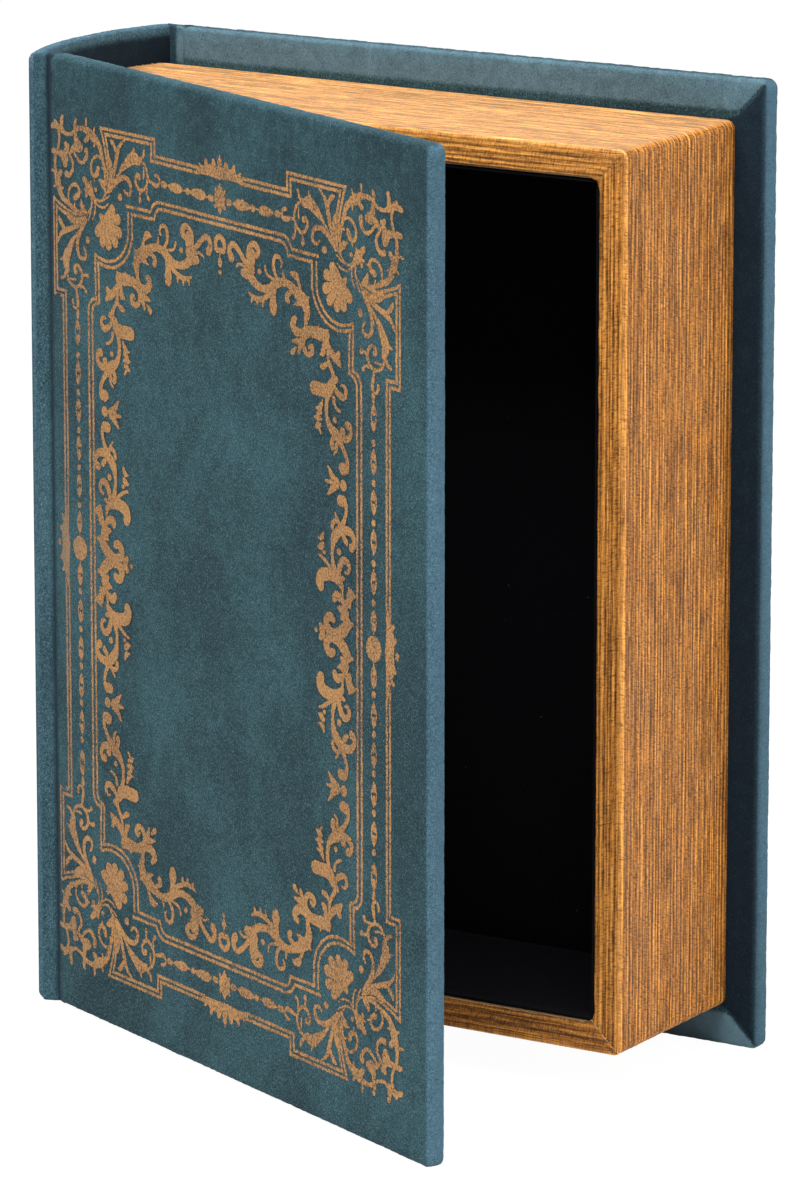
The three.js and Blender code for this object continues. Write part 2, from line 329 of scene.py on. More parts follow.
@dataclass(frozen=True)
class VelvetFinish:
    """Cotton velvet: a short nap, painted lighter or darker partly by its nap's lie and partly as light and
    shade, and painted with a highlight over an edge.

    It reads two numbers of each point. The first, from 0 on a flat to 1 on an edge, places the
    edge's painted highlight. The second runs from -1 to 1, from dark to pale: painted shade and
    painted light, and in the turn-ins also the nap's lie.
    """

    name: str
    deep: Colour
    full: Colour
    pale: Colour
    dark_nap_and_shade: Colour
    edge_highlight: Colour
    tips: Colour
    sheen: float = 0.16
    shine: float = 0.1
    turn: float = 0.0
    contrast: float = 1.0

    LINT = srgb(140, 152, 158)

    def material(self) -> bpy.types.Material:
        """Builds the velvet's material.

        Returns:
            The material.
        """
        graph = Graph(self.name)
        clouds = graph.grain(graph.place(self.turn, (28, 28, 20)), 1, 3, 0.55, 0.5)
        blotches = graph.grain(graph.place(self.turn, (330, 330, 300)), 1, 2, 0.6, 0.4)
        tufts = graph.grain(graph.place(self.turn, (1950, 1950, 1500)), 1, 2, 0.65)
        nap = graph.grain(graph.place(self.turn, (3800, 3800, 3100)), 1, 1, 0.7)
        colour = graph.mix((clouds * 0.75 + blotches * 0.25).step(0.32, 0.68), self.deep, self.full)
        # Painted light and shade: the colour turns pale where light is painted and dark where shade is
        # painted, in the joint's groove, under the tray and in recesses. In the turn-ins it is partly the
        # nap's lie.
        brush = graph.attribute("brush")
        ragged = brush + (tufts - 0.5) * 0.3 + (blotches - 0.5) * 0.3
        colour = graph.mix(ragged.step(0.1, 1.0), colour, self.pale)
        colour = graph.mix((0 - ragged).step(0.1, 0.95), colour, self.dark_nap_and_shade)
        # Painted highlight over the edges, partly the nap opening over the fold.
        fold = graph.attribute("fold")
        edge_highlight_mask = (fold + (tufts - 0.5) * 0.35).step(0.2, 1.0)
        colour = graph.mix(edge_highlight_mask * 0.9, colour, self.edge_highlight)
        evenly = self.contrast * (1 - 0.8 * graph.math("ABSOLUTE", brush)) * (1 - 0.3 * fold)
        grain = ((nap - 0.5) * 3.2 + (tufts - 0.5) * 2.2) * evenly
        colour = graph.mix(grain.step(0.0, 1.1) * 0.3, colour, self.tips)
        hairs = graph.grain(graph.place(self.turn, (700, 700, 4300)), 1, 2, 0.7, 0.3)
        drift = (blotches - 0.5) * 0.35 + (clouds - 0.5) * 0.4
        tone = 1 + grain * 0.8 + drift + (hairs - 0.5) * fold
        colour = graph.shaded(colour, graph.math("MAXIMUM", tone, 0.25))
        lint = graph.grain(graph.place(self.turn, (700, 700, 520)), 1, 1, 0.5, 0.5).step(0.8, 0.84)
        colour = graph.mix(lint * 0.2, colour, self.LINT)
        pile = nap * 0.45 + tufts * 0.55
        return graph.finish({
            "Base Color": colour,
            "Roughness": 0.78 + nap * 0.2,
            "Specular IOR Level": self.shine,
            "Sheen Weight": self.sheen,
            "Sheen Roughness": 0.4,
            "Sheen Tint": self.edge_highlight,
            "Normal": graph.bump(pile, 0.2, 0.8),
        })


@dataclass(frozen=True)
class PagePaperFinish:
    """Ribbed gold-brown paper: crests lighter and valleys darker, partly as painted light and
    shade, and a worn cross-grain.

    It reads the sheet's own coordinates and two numbers of each point: rib, from 0 in a valley to 1
    on a crest, and a tone that also carries painted light and shade: a highlight on the top face and
    along the fold, lighter on the top flap and darker on the bottom one.
    """

    name: str = "page_edge_paper"

    def material(self) -> bpy.types.Material:
        """Builds the paper's material.

        Returns:
            The material.
        """
        graph = Graph(self.name)
        rib = graph.attribute("rib")
        rub = graph.attribute("rub")
        threads = graph.grain(graph.sheet_place((140, 2800, 1)), 1, 2, 0.6)
        lines = graph.grain(graph.sheet_place((32, 1250, 1)), 1, 2, 0.6)
        dashes = graph.grain(graph.sheet_place((2200, 560, 1), 0.3), 1, 2, 0.65, 0.4)
        speckle = graph.grain(graph.sheet_place((3000, 3000, 1)), 1, 2, 0.6)
        worn = graph.grain(graph.sheet_place((90, 240, 1)), 1, 3, 0.65, 0.3)
        # Crests lighter and valleys darker, partly the paper's streaks and partly painted highlight and
        # shade on the ribs.
        marks = rib * 0.4
        for layer, share in ((threads, 1.0), (lines, 1.0), (worn, 0.3), (speckle, 0.5),
                             (dashes, 0.8)):
            marks = marks + (layer - 0.5) * share
        # Painted sheen highlight where the paper is lit from above, on the top face.
        sheen_highlight = graph.math("MAXIMUM", rub - 0.14, 0)
        smooth = 1 - sheen_highlight
        tone = 0.13 + rub - sheen_highlight * 1.8 + marks * smooth
        stops = [(0.0, srgb(76, 45, 17)), (0.22, srgb(134, 83, 32)),
                 (0.45, srgb(188, 123, 53)), (0.8, srgb(242, 168, 78))]
        colour = graph.ramp(tone, stops)
        scratches = (1 - dashes).step(0.56, 0.7)
        colour = graph.mix(scratches * 0.6 * (1 - sheen_highlight * 4), colour, srgb(82, 52, 20))
        # The painted sheen highlight's pale colour.
        colour = graph.mix(sheen_highlight * 1.3, colour, srgb(228, 192, 145))
        colour = graph.shaded(colour, 1 + (threads + lines - 1) * sheen_highlight * 8)
        height = threads * 0.35 + speckle * 0.3 + dashes * 0.35
        return graph.finish({
            "Base Color": colour,
            "Roughness": 0.42 + speckle * 0.25,
            "Specular IOR Level": 0.22,
            "Normal": graph.bump(height, 0.12, 0.8),
        })


@dataclass(frozen=True)
class RawPaperFinish:
    """The pale cut edge of the page-edge paper."""

    name: str = "cut_paper_edge"

    def material(self) -> bpy.types.Material:
        """Builds the cut edge's material."""
        graph = Graph(self.name)
        fibres = graph.grain(graph.place(), 2600, 2, 0.6)
        colour = graph.mix(fibres, srgb(178, 134, 84), srgb(235, 205, 160))
        normal = graph.bump(fibres, 0.05)
        return graph.finish({"Base Color": colour, "Roughness": 0.8, "Normal": normal})


@dataclass(frozen=True)
class GreyboardFinish:
    """Pressed greyboard: fibres in layers, flecked."""

    name: str
    pale: Colour
    dark: Colour

    def material(self) -> bpy.types.Material:
        """Builds the board's material.

        Returns:
            The material.
        """
        graph = Graph(self.name)
        layers = graph.grain(graph.place(0, (90, 2600, 90)), 1, 3, 0.6)
        flecks = graph.grain(graph.place(), 1300, 2, 0.7)
        colour = graph.mix(layers * 0.7 + flecks * 0.3, self.dark, self.pale)
        colour = graph.mix(flecks.step(0.68, 0.78) * 0.5, colour, srgb(88, 74, 58))
        return graph.finish({
            "Base Color": colour,
            "Roughness": 0.8 + flecks * 0.15,
            "Normal": graph.bump(layers * 0.6 + flecks * 0.4, 0.12, 0.7),
        })


@dataclass(frozen=True)
class PrintFinish:
    """Copper-gold pigment printed on the nap: matt, grainy, worn thin at its edges.

    It reads three numbers of each point: side, which runs from -1 to 1 across a stroke, half,
    which is half the stroke's width in millimetres, and dull, where bending has worn it.
    """

    name: str = "copper_gold_print"
    turn: float = 0.0

    def material(self) -> bpy.types.Material:
        """Builds the print's material.

        Returns:
            The material.
        """
        graph = Graph(self.name)
        nap = graph.grain(graph.place(self.turn, (4200, 4200, 3600)), 1, 2, 0.7)
        tufts = graph.grain(graph.place(self.turn, (1900, 1900, 1600)), 1, 2, 0.6)
        patches = graph.grain(graph.place(self.turn, (70, 70, 50)), 1, 3, 0.6)
        tone = 0.5 + (nap - 0.5) * 2.0 + (tufts - 0.5) * 2.0 + (patches - 0.5) * 0.7
        colour = graph.ramp(tone, [(0.1, srgb(62, 49, 37)), (0.5, srgb(143, 102, 57)),
                                   (0.9, srgb(178, 131, 75))])
        colour = graph.mix(graph.attribute("dull") * 0.7, colour, srgb(104, 90, 76))
        inside = (1 - graph.math("ABSOLUTE", graph.attribute("side"))) * graph.attribute("half")
        worn = inside + (nap - 0.5) * 0.8 + (tufts - 0.5) * 0.8 + (patches - 0.5) * 0.3
        return graph.finish({
            "Base Color": colour,
            "Roughness": 0.6 + nap * 0.3,
            "Metallic": 0.1,
            "Alpha": worn.step(-0.14, 0.26),
            "Normal": graph.bump(nap * 0.5 + tufts * 0.5, 0.16, 0.7),
        })


@dataclass(frozen=True)
class FinishSet:
    """Every finish of the box, as materials."""

    case_velvet: bpy.types.Material
    cover_velvet: bpy.types.Material
    lining_velvet: bpy.types.Material
    page_paper: bpy.types.Material
    cut_paper: bpy.types.Material
    cover_board: bpy.types.Material
    tray_board: bpy.types.Material
    print_ink: bpy.types.Material

    @classmethod
    def mixed(cls, cover_turn: float) -> "FinishSet":
        """Mixes every finish.

        Args:
            cover_turn: The turn that lays a pattern along the open cover, in radians.

        Returns:
            The set.
        """
        teal = {
            "deep": srgb(32, 54, 59),
            "full": srgb(45, 72, 78),
            # pale is painted light and the dark colour below it painted shade, partly also the nap's lie.
            # The edge colour is a painted highlight over edges and also the sheen's tint.
            "pale": srgb(90, 118, 131),
            "dark_nap_and_shade": srgb(20, 32, 43),
            "edge_highlight": srgb(69, 98, 113),
            "tips": srgb(108, 132, 140),
        }
        black = {name: srgb(12, 12, 15) for name in ("deep", "full", "dark_nap_and_shade")}
        return cls(
            case_velvet=VelvetFinish("teal_velvet", **teal).material(),
            cover_velvet=VelvetFinish("printed_teal_velvet", **teal, turn=cover_turn).material(),
            lining_velvet=VelvetFinish("black_lining_velvet", **black, pale=srgb(14, 14, 17),
                                       edge_highlight=srgb(16, 16, 19), tips=srgb(22, 22, 26), sheen=0.015,
                                       shine=0.03, contrast=0.6).material(),
            page_paper=PagePaperFinish().material(),
            cut_paper=RawPaperFinish().material(),
            cover_board=GreyboardFinish("cover_greyboard", srgb(172, 150, 120),
                                        srgb(132, 112, 88)).material(),
            tray_board=GreyboardFinish("tray_fibreboard", srgb(176, 146, 106),
                                       srgb(136, 108, 74)).material(),
            print_ink=PrintFinish(turn=cover_turn).material(),
        )


# Where things are


@dataclass(frozen=True)
class Layout:
    """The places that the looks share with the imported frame, in millimetres."""

    hinge: Vector
    open_angle: float
    height: float
    cover_thickness: float
    case_back_y: float
    fore_edge_x: float
    reach: float = 190.0
    stagger: float = 5.0
    joint_width: float = 5.0
    spine_bow: float = 6.8
    spine_thickness: float = 3.8
    turn_in: float = 16.0
    cloth: float = 0.5
    glue_line: float = 0.3
    joint_lap: float = 2.6
    fore_edge_square: float = 9.8
    sag: float = 0.8

    @classmethod
    def of(cls, frame: dict[str, Any]) -> "Layout":
        """Reads the shared places from the frame.


        Returns:
            The layout.
        """
        joint = next(row for row in frame["joints"] if row["name"] == HINGE)
        low, high = (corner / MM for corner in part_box("back_velvet"))
        return cls(
            hinge=Vector(joint["pos_m"]) / MM,
            open_angle=math.radians(-joint["range_deg"][0]),
            height=high.z - low.z,
            cover_thickness=high.y - low.y,
            case_back_y=high.y,
            fore_edge_x=high.x,
        )

    @property
    def depth(self) -> float:
        """From the back cover's outer face to the shut front cover's."""
        return self.case_back_y - self.hinge.y

    @property
    def spine_radius(self) -> float:
        """The radius of the spine's outer face."""
        return ((self.depth / 2) ** 2 + self.spine_bow ** 2) / (2 * self.spine_bow)

    @property
    def spine_centre(self) -> Vector:
        """The centre of the spine's bow, seen from above."""
        corner_x = self.fore_edge_x - self.reach
        middle_y = self.case_back_y - self.depth / 2
        return Vector((corner_x - self.spine_bow + self.spine_radius, middle_y))

    @property
    def cover_start_x(self) -> float:
        """Where a shut cover begins beside its joint."""
        return self.hinge.x + self.joint_width / 2

    @property
    def tray_radius(self) -> float:
        """The radius of the tray's bowed end."""
        return self.spine_radius - self.spine_thickness - self.glue_line

    def tray_end_x(self, y: float) -> float:
        """Where the tray's bowed end is, at a depth.

        Args:
            y: The depth in the case.

        Returns:
            The place along X.
        """
        off = y - self.spine_centre.y
        return self.spine_centre.x - math.sqrt(self.tray_radius ** 2 - off ** 2)

    @property
    def back_length(self) -> float:
        """The back cover's length from its joint to its fore-edge."""
        return self.fore_edge_x - self.cover_start_x

    @property
    def front_length(self) -> float:
        """The front cover's length from its joint to its fore-edge."""
        return self.back_length - self.stagger

    def sink(self, bm: bmesh.types.BMesh) -> None:
        """Lets the open front cover hang a little lower at its fore-edge.

        Args:
            bm: A mesh in the cover's own coordinates.
        """
        length = self.front_length
        for vert in bm.verts:
            vert.co.z += self.sag * (1 - vert.co.x / length)

    def on_cover(self) -> Matrix:
        """Carries the open front cover's own coordinates into the frame's, in millimetres.

        Returns:
            The transform. The cover's X runs to its fore-edge, Y inwards from its outer face.
        """
        turn = Matrix.Rotation(-self.open_angle, 4, "Z")
        return Matrix.Translation((self.hinge.x, self.hinge.y, 0)) @ turn @ Matrix.Translation(
            (self.joint_width / 2, 0, 0))


# Bench work on meshes


def along(edge: bmesh.types.BMEdge, axis: int) -> bool:
    """Whether an edge runs along an axis."""
    way = (edge.verts[1].co - edge.verts[0].co).normalized()
    return abs(way[axis]) > 0.99


def soften(bm: bmesh.types.BMesh, edges: Sequence[bmesh.types.BMEdge], radius: float,
           segments: int) -> None:
    """Rounds edges.

    Args:
        bm: The mesh.
        edges: The edges.
        radius: The rounding's radius.
        segments: Its number of facets.
    """
    bmesh.ops.bevel(bm, geom=list(edges), offset=radius, offset_type="OFFSET", affect="EDGES",
                    segments=segments, profile=0.5, material=-1, clamp_overlap=True)


def score(bm: bmesh.types.BMesh, through: Sequence[float], facing: Sequence[float]) -> None:
    """Cuts a line right round a mesh, where a plane meets it."""
    geometry = bm.verts[:] + bm.edges[:] + bm.faces[:]
    bmesh.ops.bisect_plane(bm, geom=geometry, dist=1e-4, plane_co=through, plane_no=facing)


def score_evenly(bm: bmesh.types.BMesh, axis: int, start: float, end: float, step: float) -> None:
    """Cuts even lines across a mesh.

    Args:
        bm: The mesh.
        axis: The axis that the lines follow one another along.
        start: Where they begin.
        end: Where they stop.
        step: The greatest distance between two.
    """
    count = math.ceil((end - start) / step)
    for index in range(1, count):
        point = Vector((0, 0, 0))
        point[axis] = start + (end - start) * index / count
        facing = Vector((0, 0, 0))
        facing[axis] = 1
        score(bm, point, facing)


def trim(bm: bmesh.types.BMesh, through: Sequence[float], facing: Sequence[float]) -> None:
    """Cuts away what lies on the facing side of a plane."""
    geometry = bm.verts[:] + bm.edges[:] + bm.faces[:]
    bmesh.ops.bisect_plane(bm, geom=geometry, dist=1e-4, plane_co=through, plane_no=facing,
                           clear_outer=True)


def waver(point: Vector, size: float, seed: float) -> Vector:
    """A smooth random shift.

    Args:
        point: Where.
        size: The wavelength.
        seed: Moves the pattern, so that two pieces differ.

    Returns:
        A vector with parts between about -1 and 1.
    """
    return noise.noise_vector(Vector(point) / size + Vector((seed, seed * 0.7, -seed)))


def ease(share: float) -> float:
    """A share between 0 and 1, eased at both ends."""
    held = min(max(share, 0.0), 1.0)
    return held * held * (3 - 2 * held)


def fade(distance: float, start: float, width: float) -> float:
    """A share that is 1 up to a distance and eases to 0 over the width beyond it."""
    return 1 - ease((distance - start) / width)


def bell(offset: float, width: float) -> float:
    """A share that is 1 at a place and falls away softly on both sides of it."""
    return math.exp(-(offset / width) ** 2)


def as_piece(name: str, bm: bmesh.types.BMesh,
             finishes: Sequence[bpy.types.Material]) -> bpy.types.Object:
    """Turns a mesh in millimetres into a piece in metres.

    Args:
        name: The piece's name.
        bm: The mesh, which is used up.
        finishes: Its materials, by face index.

    Returns:
        The piece, at the origin.
    """
    bmesh.ops.scale(bm, vec=(MM, MM, MM), verts=bm.verts)
    mesh = bpy.data.meshes.new(name)
    bm.to_mesh(mesh)
    bm.free()
    for face in mesh.polygons:
        face.use_smooth = True
    for finish in finishes:
        mesh.materials.append(finish)
    piece = bpy.data.objects.new(name, mesh)
    bpy.context.scene.collection.objects.link(piece)
    return piece


def thicken(piece: bpy.types.Object, thickness: float, rim_finish: int = 0) -> None:
    """Gives a shell its thickness, inwards from its outer face.

    Args:
        piece: The piece.
        thickness: The thickness in millimetres.
        rim_finish: How many finishes further on the rim's one is.
    """
    solid = piece.modifiers.new("thickness", "SOLIDIFY")
    solid.thickness = thickness * MM
    solid.offset = -1
    solid.use_even_offset = True
    solid.material_offset_rim = rim_finish


def face_front(bm: bmesh.types.BMesh) -> None:
    """Turns every face of a flat sheet towards the front, which is -Y."""
    bm.normal_update()
    hidden = [face for face in bm.faces if face.normal.y > 0]
    bmesh.ops.reverse_faces(bm, faces=hidden)


def placed(bm: bmesh.types.BMesh, transform: Matrix) -> None:
    """Carries a mesh to its place, and keeps its faces outwards when the transform mirrors it."""
    bmesh.ops.transform(bm, matrix=transform, verts=bm.verts)
    if transform.determinant() < 0:
        bmesh.ops.reverse_faces(bm, faces=bm.faces)


# Velvet case


@dataclass
class ClothWrap:
    """Velvet drawn over a board and turned in over its edges, before it is placed.

    X runs along the board, Y from its outer face to its inner one, Z up. The shoulder is how far
    the face sinks beside the joint, and pressed is how flat its edge is there. The turn-ins' tones
    are partly the nap's lie and partly painted light and shade: the head's painted pale as lit from
    above, the fore-edge's painted dark as shaded. From a set distance in, the head's and foot's
    turn-ins are painted dark as the tray's contact shadow.
    """

    length: float
    thickness: float
    height: float
    outer_edge: float = 1.5
    inner_edge: float = 1.3
    corner: float = 2.5
    joint_corner: float = 1.8
    shoulder: float = 0.35
    shoulder_width: float = 3.6
    pressed: float = 0.85
    window: tuple[float, float, float, float] | None = None
    cell: float = 4.0
    rise_cell: float = 4.0
    seed: float = 1.0
    slack: float = 0.16
    fuzz: float = 0.14
    # Each turn-in's tone, partly the nap's lie and partly painted light and shade: the foot's and head's
    # painted pale, the head's as lit from above, and the fore-edge's painted dark as shaded. The last field
    # is where the tray's painted contact shadow begins on the head's and foot's turn-ins.
    foot_nap_and_shading: float = 1.0
    head_nap_and_shading: float = 0.7
    fore_edge_nap_and_shading: float = -0.85
    tray_shadow_from: float = 9.8

    FACETS = 5
    SHARP = math.radians(60)
    MITRE_CUTS = (-1.2, -0.5, 0, 0.5, 1.2)
    MITRE_DEPTH, MITRE_WIDTH = 0.3, 0.7
    # Painted shades: the tray's contact shadow on the turn-ins, the shade in the joint's groove and the
    # darker band near the head.
    PAINTED_TRAY_SHADOW = -0.9
    JOINT_SHADE, HEAD_SHADE = 0.85, 0.34

    def build(self) -> bmesh.types.BMesh:
        """Makes the wrap's outer skin, with the bare window of its inner face left open.

        Returns:
            The skin.
        """
        bm = bmesh.new()
        bmesh.ops.create_cube(bm, size=1.0)
        bmesh.ops.translate(bm, vec=(0.5, 0.5, 0.5), verts=bm.verts)
        bmesh.ops.scale(bm, vec=(self.length, self.thickness, self.height), verts=bm.verts)
        upright = [edge for edge in bm.edges if along(edge, 1)]
        far = [edge for edge in upright if edge.verts[0].co.x > self.length / 2]
        near = [edge for edge in upright if edge.verts[0].co.x < self.length / 2]
        soften(bm, far, self.corner, self.FACETS)
        soften(bm, near, self.joint_corner, self.FACETS)
        for level, radius in ((0, self.outer_edge), (self.thickness, self.inner_edge)):
            rim = [edge for edge in bm.edges if self._borders(edge, level)]
            soften(bm, rim, radius, self.FACETS)
        bmesh.ops.remove_doubles(bm, verts=bm.verts, dist=HAIR)
        score_evenly(bm, 0, 0, self.length, self.cell)
        score_evenly(bm, 2, 0, self.height, self.rise_cell)
        if self.window:
            self.open_window(bm, self.window, HAIR)
        self._divide_rims(bm)
        self._paint_nap_and_shading(bm)
        self._loosen(bm)
        return bm

    def face_level(self, x: float) -> float:
        """How far the outer face has sunk beside the joint.

        Args:
            x: How far from the joint.

        Returns:
            The depth.
        """
        sunk = self.shoulder * max(1 - x / self.shoulder_width, 0) ** 2
        return sunk + (1 - self.pressed) * self._rounding(x)

    def _rounding(self, x: float) -> float:
        """How deep the rounding of the joint's edge lies at a distance from the joint."""
        inset = min(max(self.outer_edge - x, 0), self.outer_edge)
        return self.outer_edge - math.sqrt(self.outer_edge ** 2 - inset ** 2)

    def _borders(self, edge: bmesh.types.BMEdge, level: float) -> bool:
        """Whether an edge lies on the border of the face at a depth."""
        at_level = all(abs(vert.co.y - level) < HAIR for vert in edge.verts)
        return at_level and len(edge.link_faces) == 2 and edge.calc_face_angle(0) > self.SHARP

    def _ends(self, point: Vector) -> float:
        """How far a point is from the nearest of the head, the foot and the fore-edge."""
        return min(point.z, self.height - point.z, self.length - point.x)

    def _divide_rims(self, bm: bmesh.types.BMesh) -> None:
        """Divides the rims more finely along their length, for their ragged outline.

        Args:
            bm: The skin.
        """
        longest, reach = 0.6 * self.cell, 0.9 * self.outer_edge
        rims = [edge for edge in bm.edges if edge.calc_length() > longest
                and max(self._ends(vert.co) for vert in edge.verts) < reach]
        bmesh.ops.subdivide_edges(bm, edges=rims, cuts=3, use_grid_fill=True)

    def open_window(self, bm: bmesh.types.BMesh, window: tuple[float, float, float, float],
                    play: float) -> None:
        """Cuts the turn-ins' inner borders and mitres, and takes out the bare middle.

        Args:
            bm: The skin.
            window: The bare middle's left, right, lowest and highest border.
            play: How uneven the inner face is.
        """
        left, right, bottom, top = window
        for x in (left, right):
            score(bm, (x, 0, 0), (1, 0, 0))
        for z in (bottom, top):
            score(bm, (0, 0, z), (0, 0, 1))
        if self.window:
            self._crease_mitres(bm)
        bare = []
        for face in bm.faces:
            middle = face.calc_center_median()
            if (middle.y > self.thickness - play and left < middle.x < right
                    and bottom < middle.z < top):
                bare.append(face)
        bmesh.ops.delete(bm, geom=bare, context="FACES")

    def _mitre_gap(self, point: Vector) -> float | None:
        """How far a point of the inner face is from the nearer mitre, or None away from both."""
        right, top, bottom = self.window[1], self.window[3], self.window[2]
        run_in = self.length - point.x
        if point.x < right - 1 or bottom + 1 < point.z < top - 1:
            return None
        rise_in = self.height - point.z if point.z > self.height / 2 else point.z
        return (run_in - rise_in) / math.sqrt(2)

    def _crease_mitres(self, bm: bmesh.types.BMesh) -> None:
        """Presses the line where two turn-ins meet into the corners by the fore-edge.

        Args:
            bm: The skin.
        """
        right, inner_face = self.window[1], self.thickness - HAIR
        reach = self.length - right + 1
        for corner_z, way in ((0, 1), (self.height, -1)):
            for offset in self.MITRE_CUTS:
                patch = []
                for face in bm.faces:
                    middle = face.calc_center_median()
                    if (middle.y > inner_face and middle.x > right - 1
                            and abs(middle.z - corner_z) < reach):
                        patch.append(face)
                rims = dict.fromkeys(item for face in patch
                                     for item in (*face.verts, *face.edges))
                bmesh.ops.bisect_plane(bm, geom=[*rims, *patch], dist=1e-4,
                                       plane_co=(self.length - offset, 0, corner_z),
                                       plane_no=(1, 0, way))
        for vert in bm.verts:
            gap = self._mitre_gap(vert.co) if vert.co.y > inner_face else None
            if gap is not None:
                vert.co.y -= self.MITRE_DEPTH * bell(gap, self.MITRE_WIDTH)

    def _paint_nap_and_shading(self, bm: bmesh.types.BMesh) -> None:
        """Notes at each point, for the finish, where a highlight is painted over the edges, and the tone of
        each turn-in with the painted light and shade: the tray's contact shadow, the shade in the joint's
        groove and a darker band near the head.

        Args:
            bm: The skin.
        """
        fold = bm.verts.layers.float.new("fold")
        brush = bm.verts.layers.float.new("brush")
        for vert in bm.verts:
            run_in, rise, drop = self.length - vert.co.x, vert.co.z, self.height - vert.co.z
            # Painted highlight over the fore-edge, fainter over the head and foot.
            folds = fade(run_in, 0.2, 2.2), 0.4 * fade(drop, 0.2, 2.0), 0.12 * fade(rise, 0.1, 1.2)
            vert[fold] = max(folds)
            turned = ease((vert.co.y - 0.5 * self.thickness) / (0.4 * self.thickness))
            end_gap = min(rise, drop)
            # Painted contact shadow where the head's and foot's turn-ins meet the tray.
            pressed = ease((end_gap - self.tray_shadow_from) / 1.2)
            end_nap_and_shading = self.head_nap_and_shading if drop < rise else self.foot_nap_and_shading
            ends = end_nap_and_shading * (1 - pressed) + self.PAINTED_TRAY_SHADOW * pressed
            past_mitre = ease((run_in - end_gap) / 2.6 + 0.5)
            flap = self.fore_edge_nap_and_shading + (ends - self.fore_edge_nap_and_shading) * past_mitre
            # Painted shade in the groove beside the joint and a darker painted band near the head.
            joint_shade = self.JOINT_SHADE * bell(vert.co.x + 1.6, 2.6) if self.shoulder else 0
            shade = max(joint_shade, self.HEAD_SHADE * fade(drop, 0, 45))
            vert[brush] = turned * flap - (1 - turned) * shade

    def _loosen(self, bm: bmesh.types.BMesh) -> None:
        """Sinks the face beside the joint and lets the cloth's edges run a little unevenly.

        Args:
            bm: The skin.
        """
        for vert in bm.verts:
            gap = self._ends(vert.co)
            drift = waver(vert.co, 9, self.seed) * 0.6 + waver(vert.co, 2.6, self.seed + 5) * 0.4
            shift = Vector((drift.x, drift.y * 0.4, drift.z)) * self.slack * fade(gap, 0, 6)
            ragged = waver(vert.co, 0.9, self.seed + 9) * self.fuzz
            shift += ragged * fade(gap, 0, self.outer_edge)
            if vert.co.y < 0.6 * self.thickness and self.shoulder:
                shift.y += self.shoulder * max(1 - vert.co.x / self.shoulder_width, 0) ** 2
                shift.y -= self.pressed * min(self._rounding(vert.co.x), vert.co.y)
            vert.co += shift


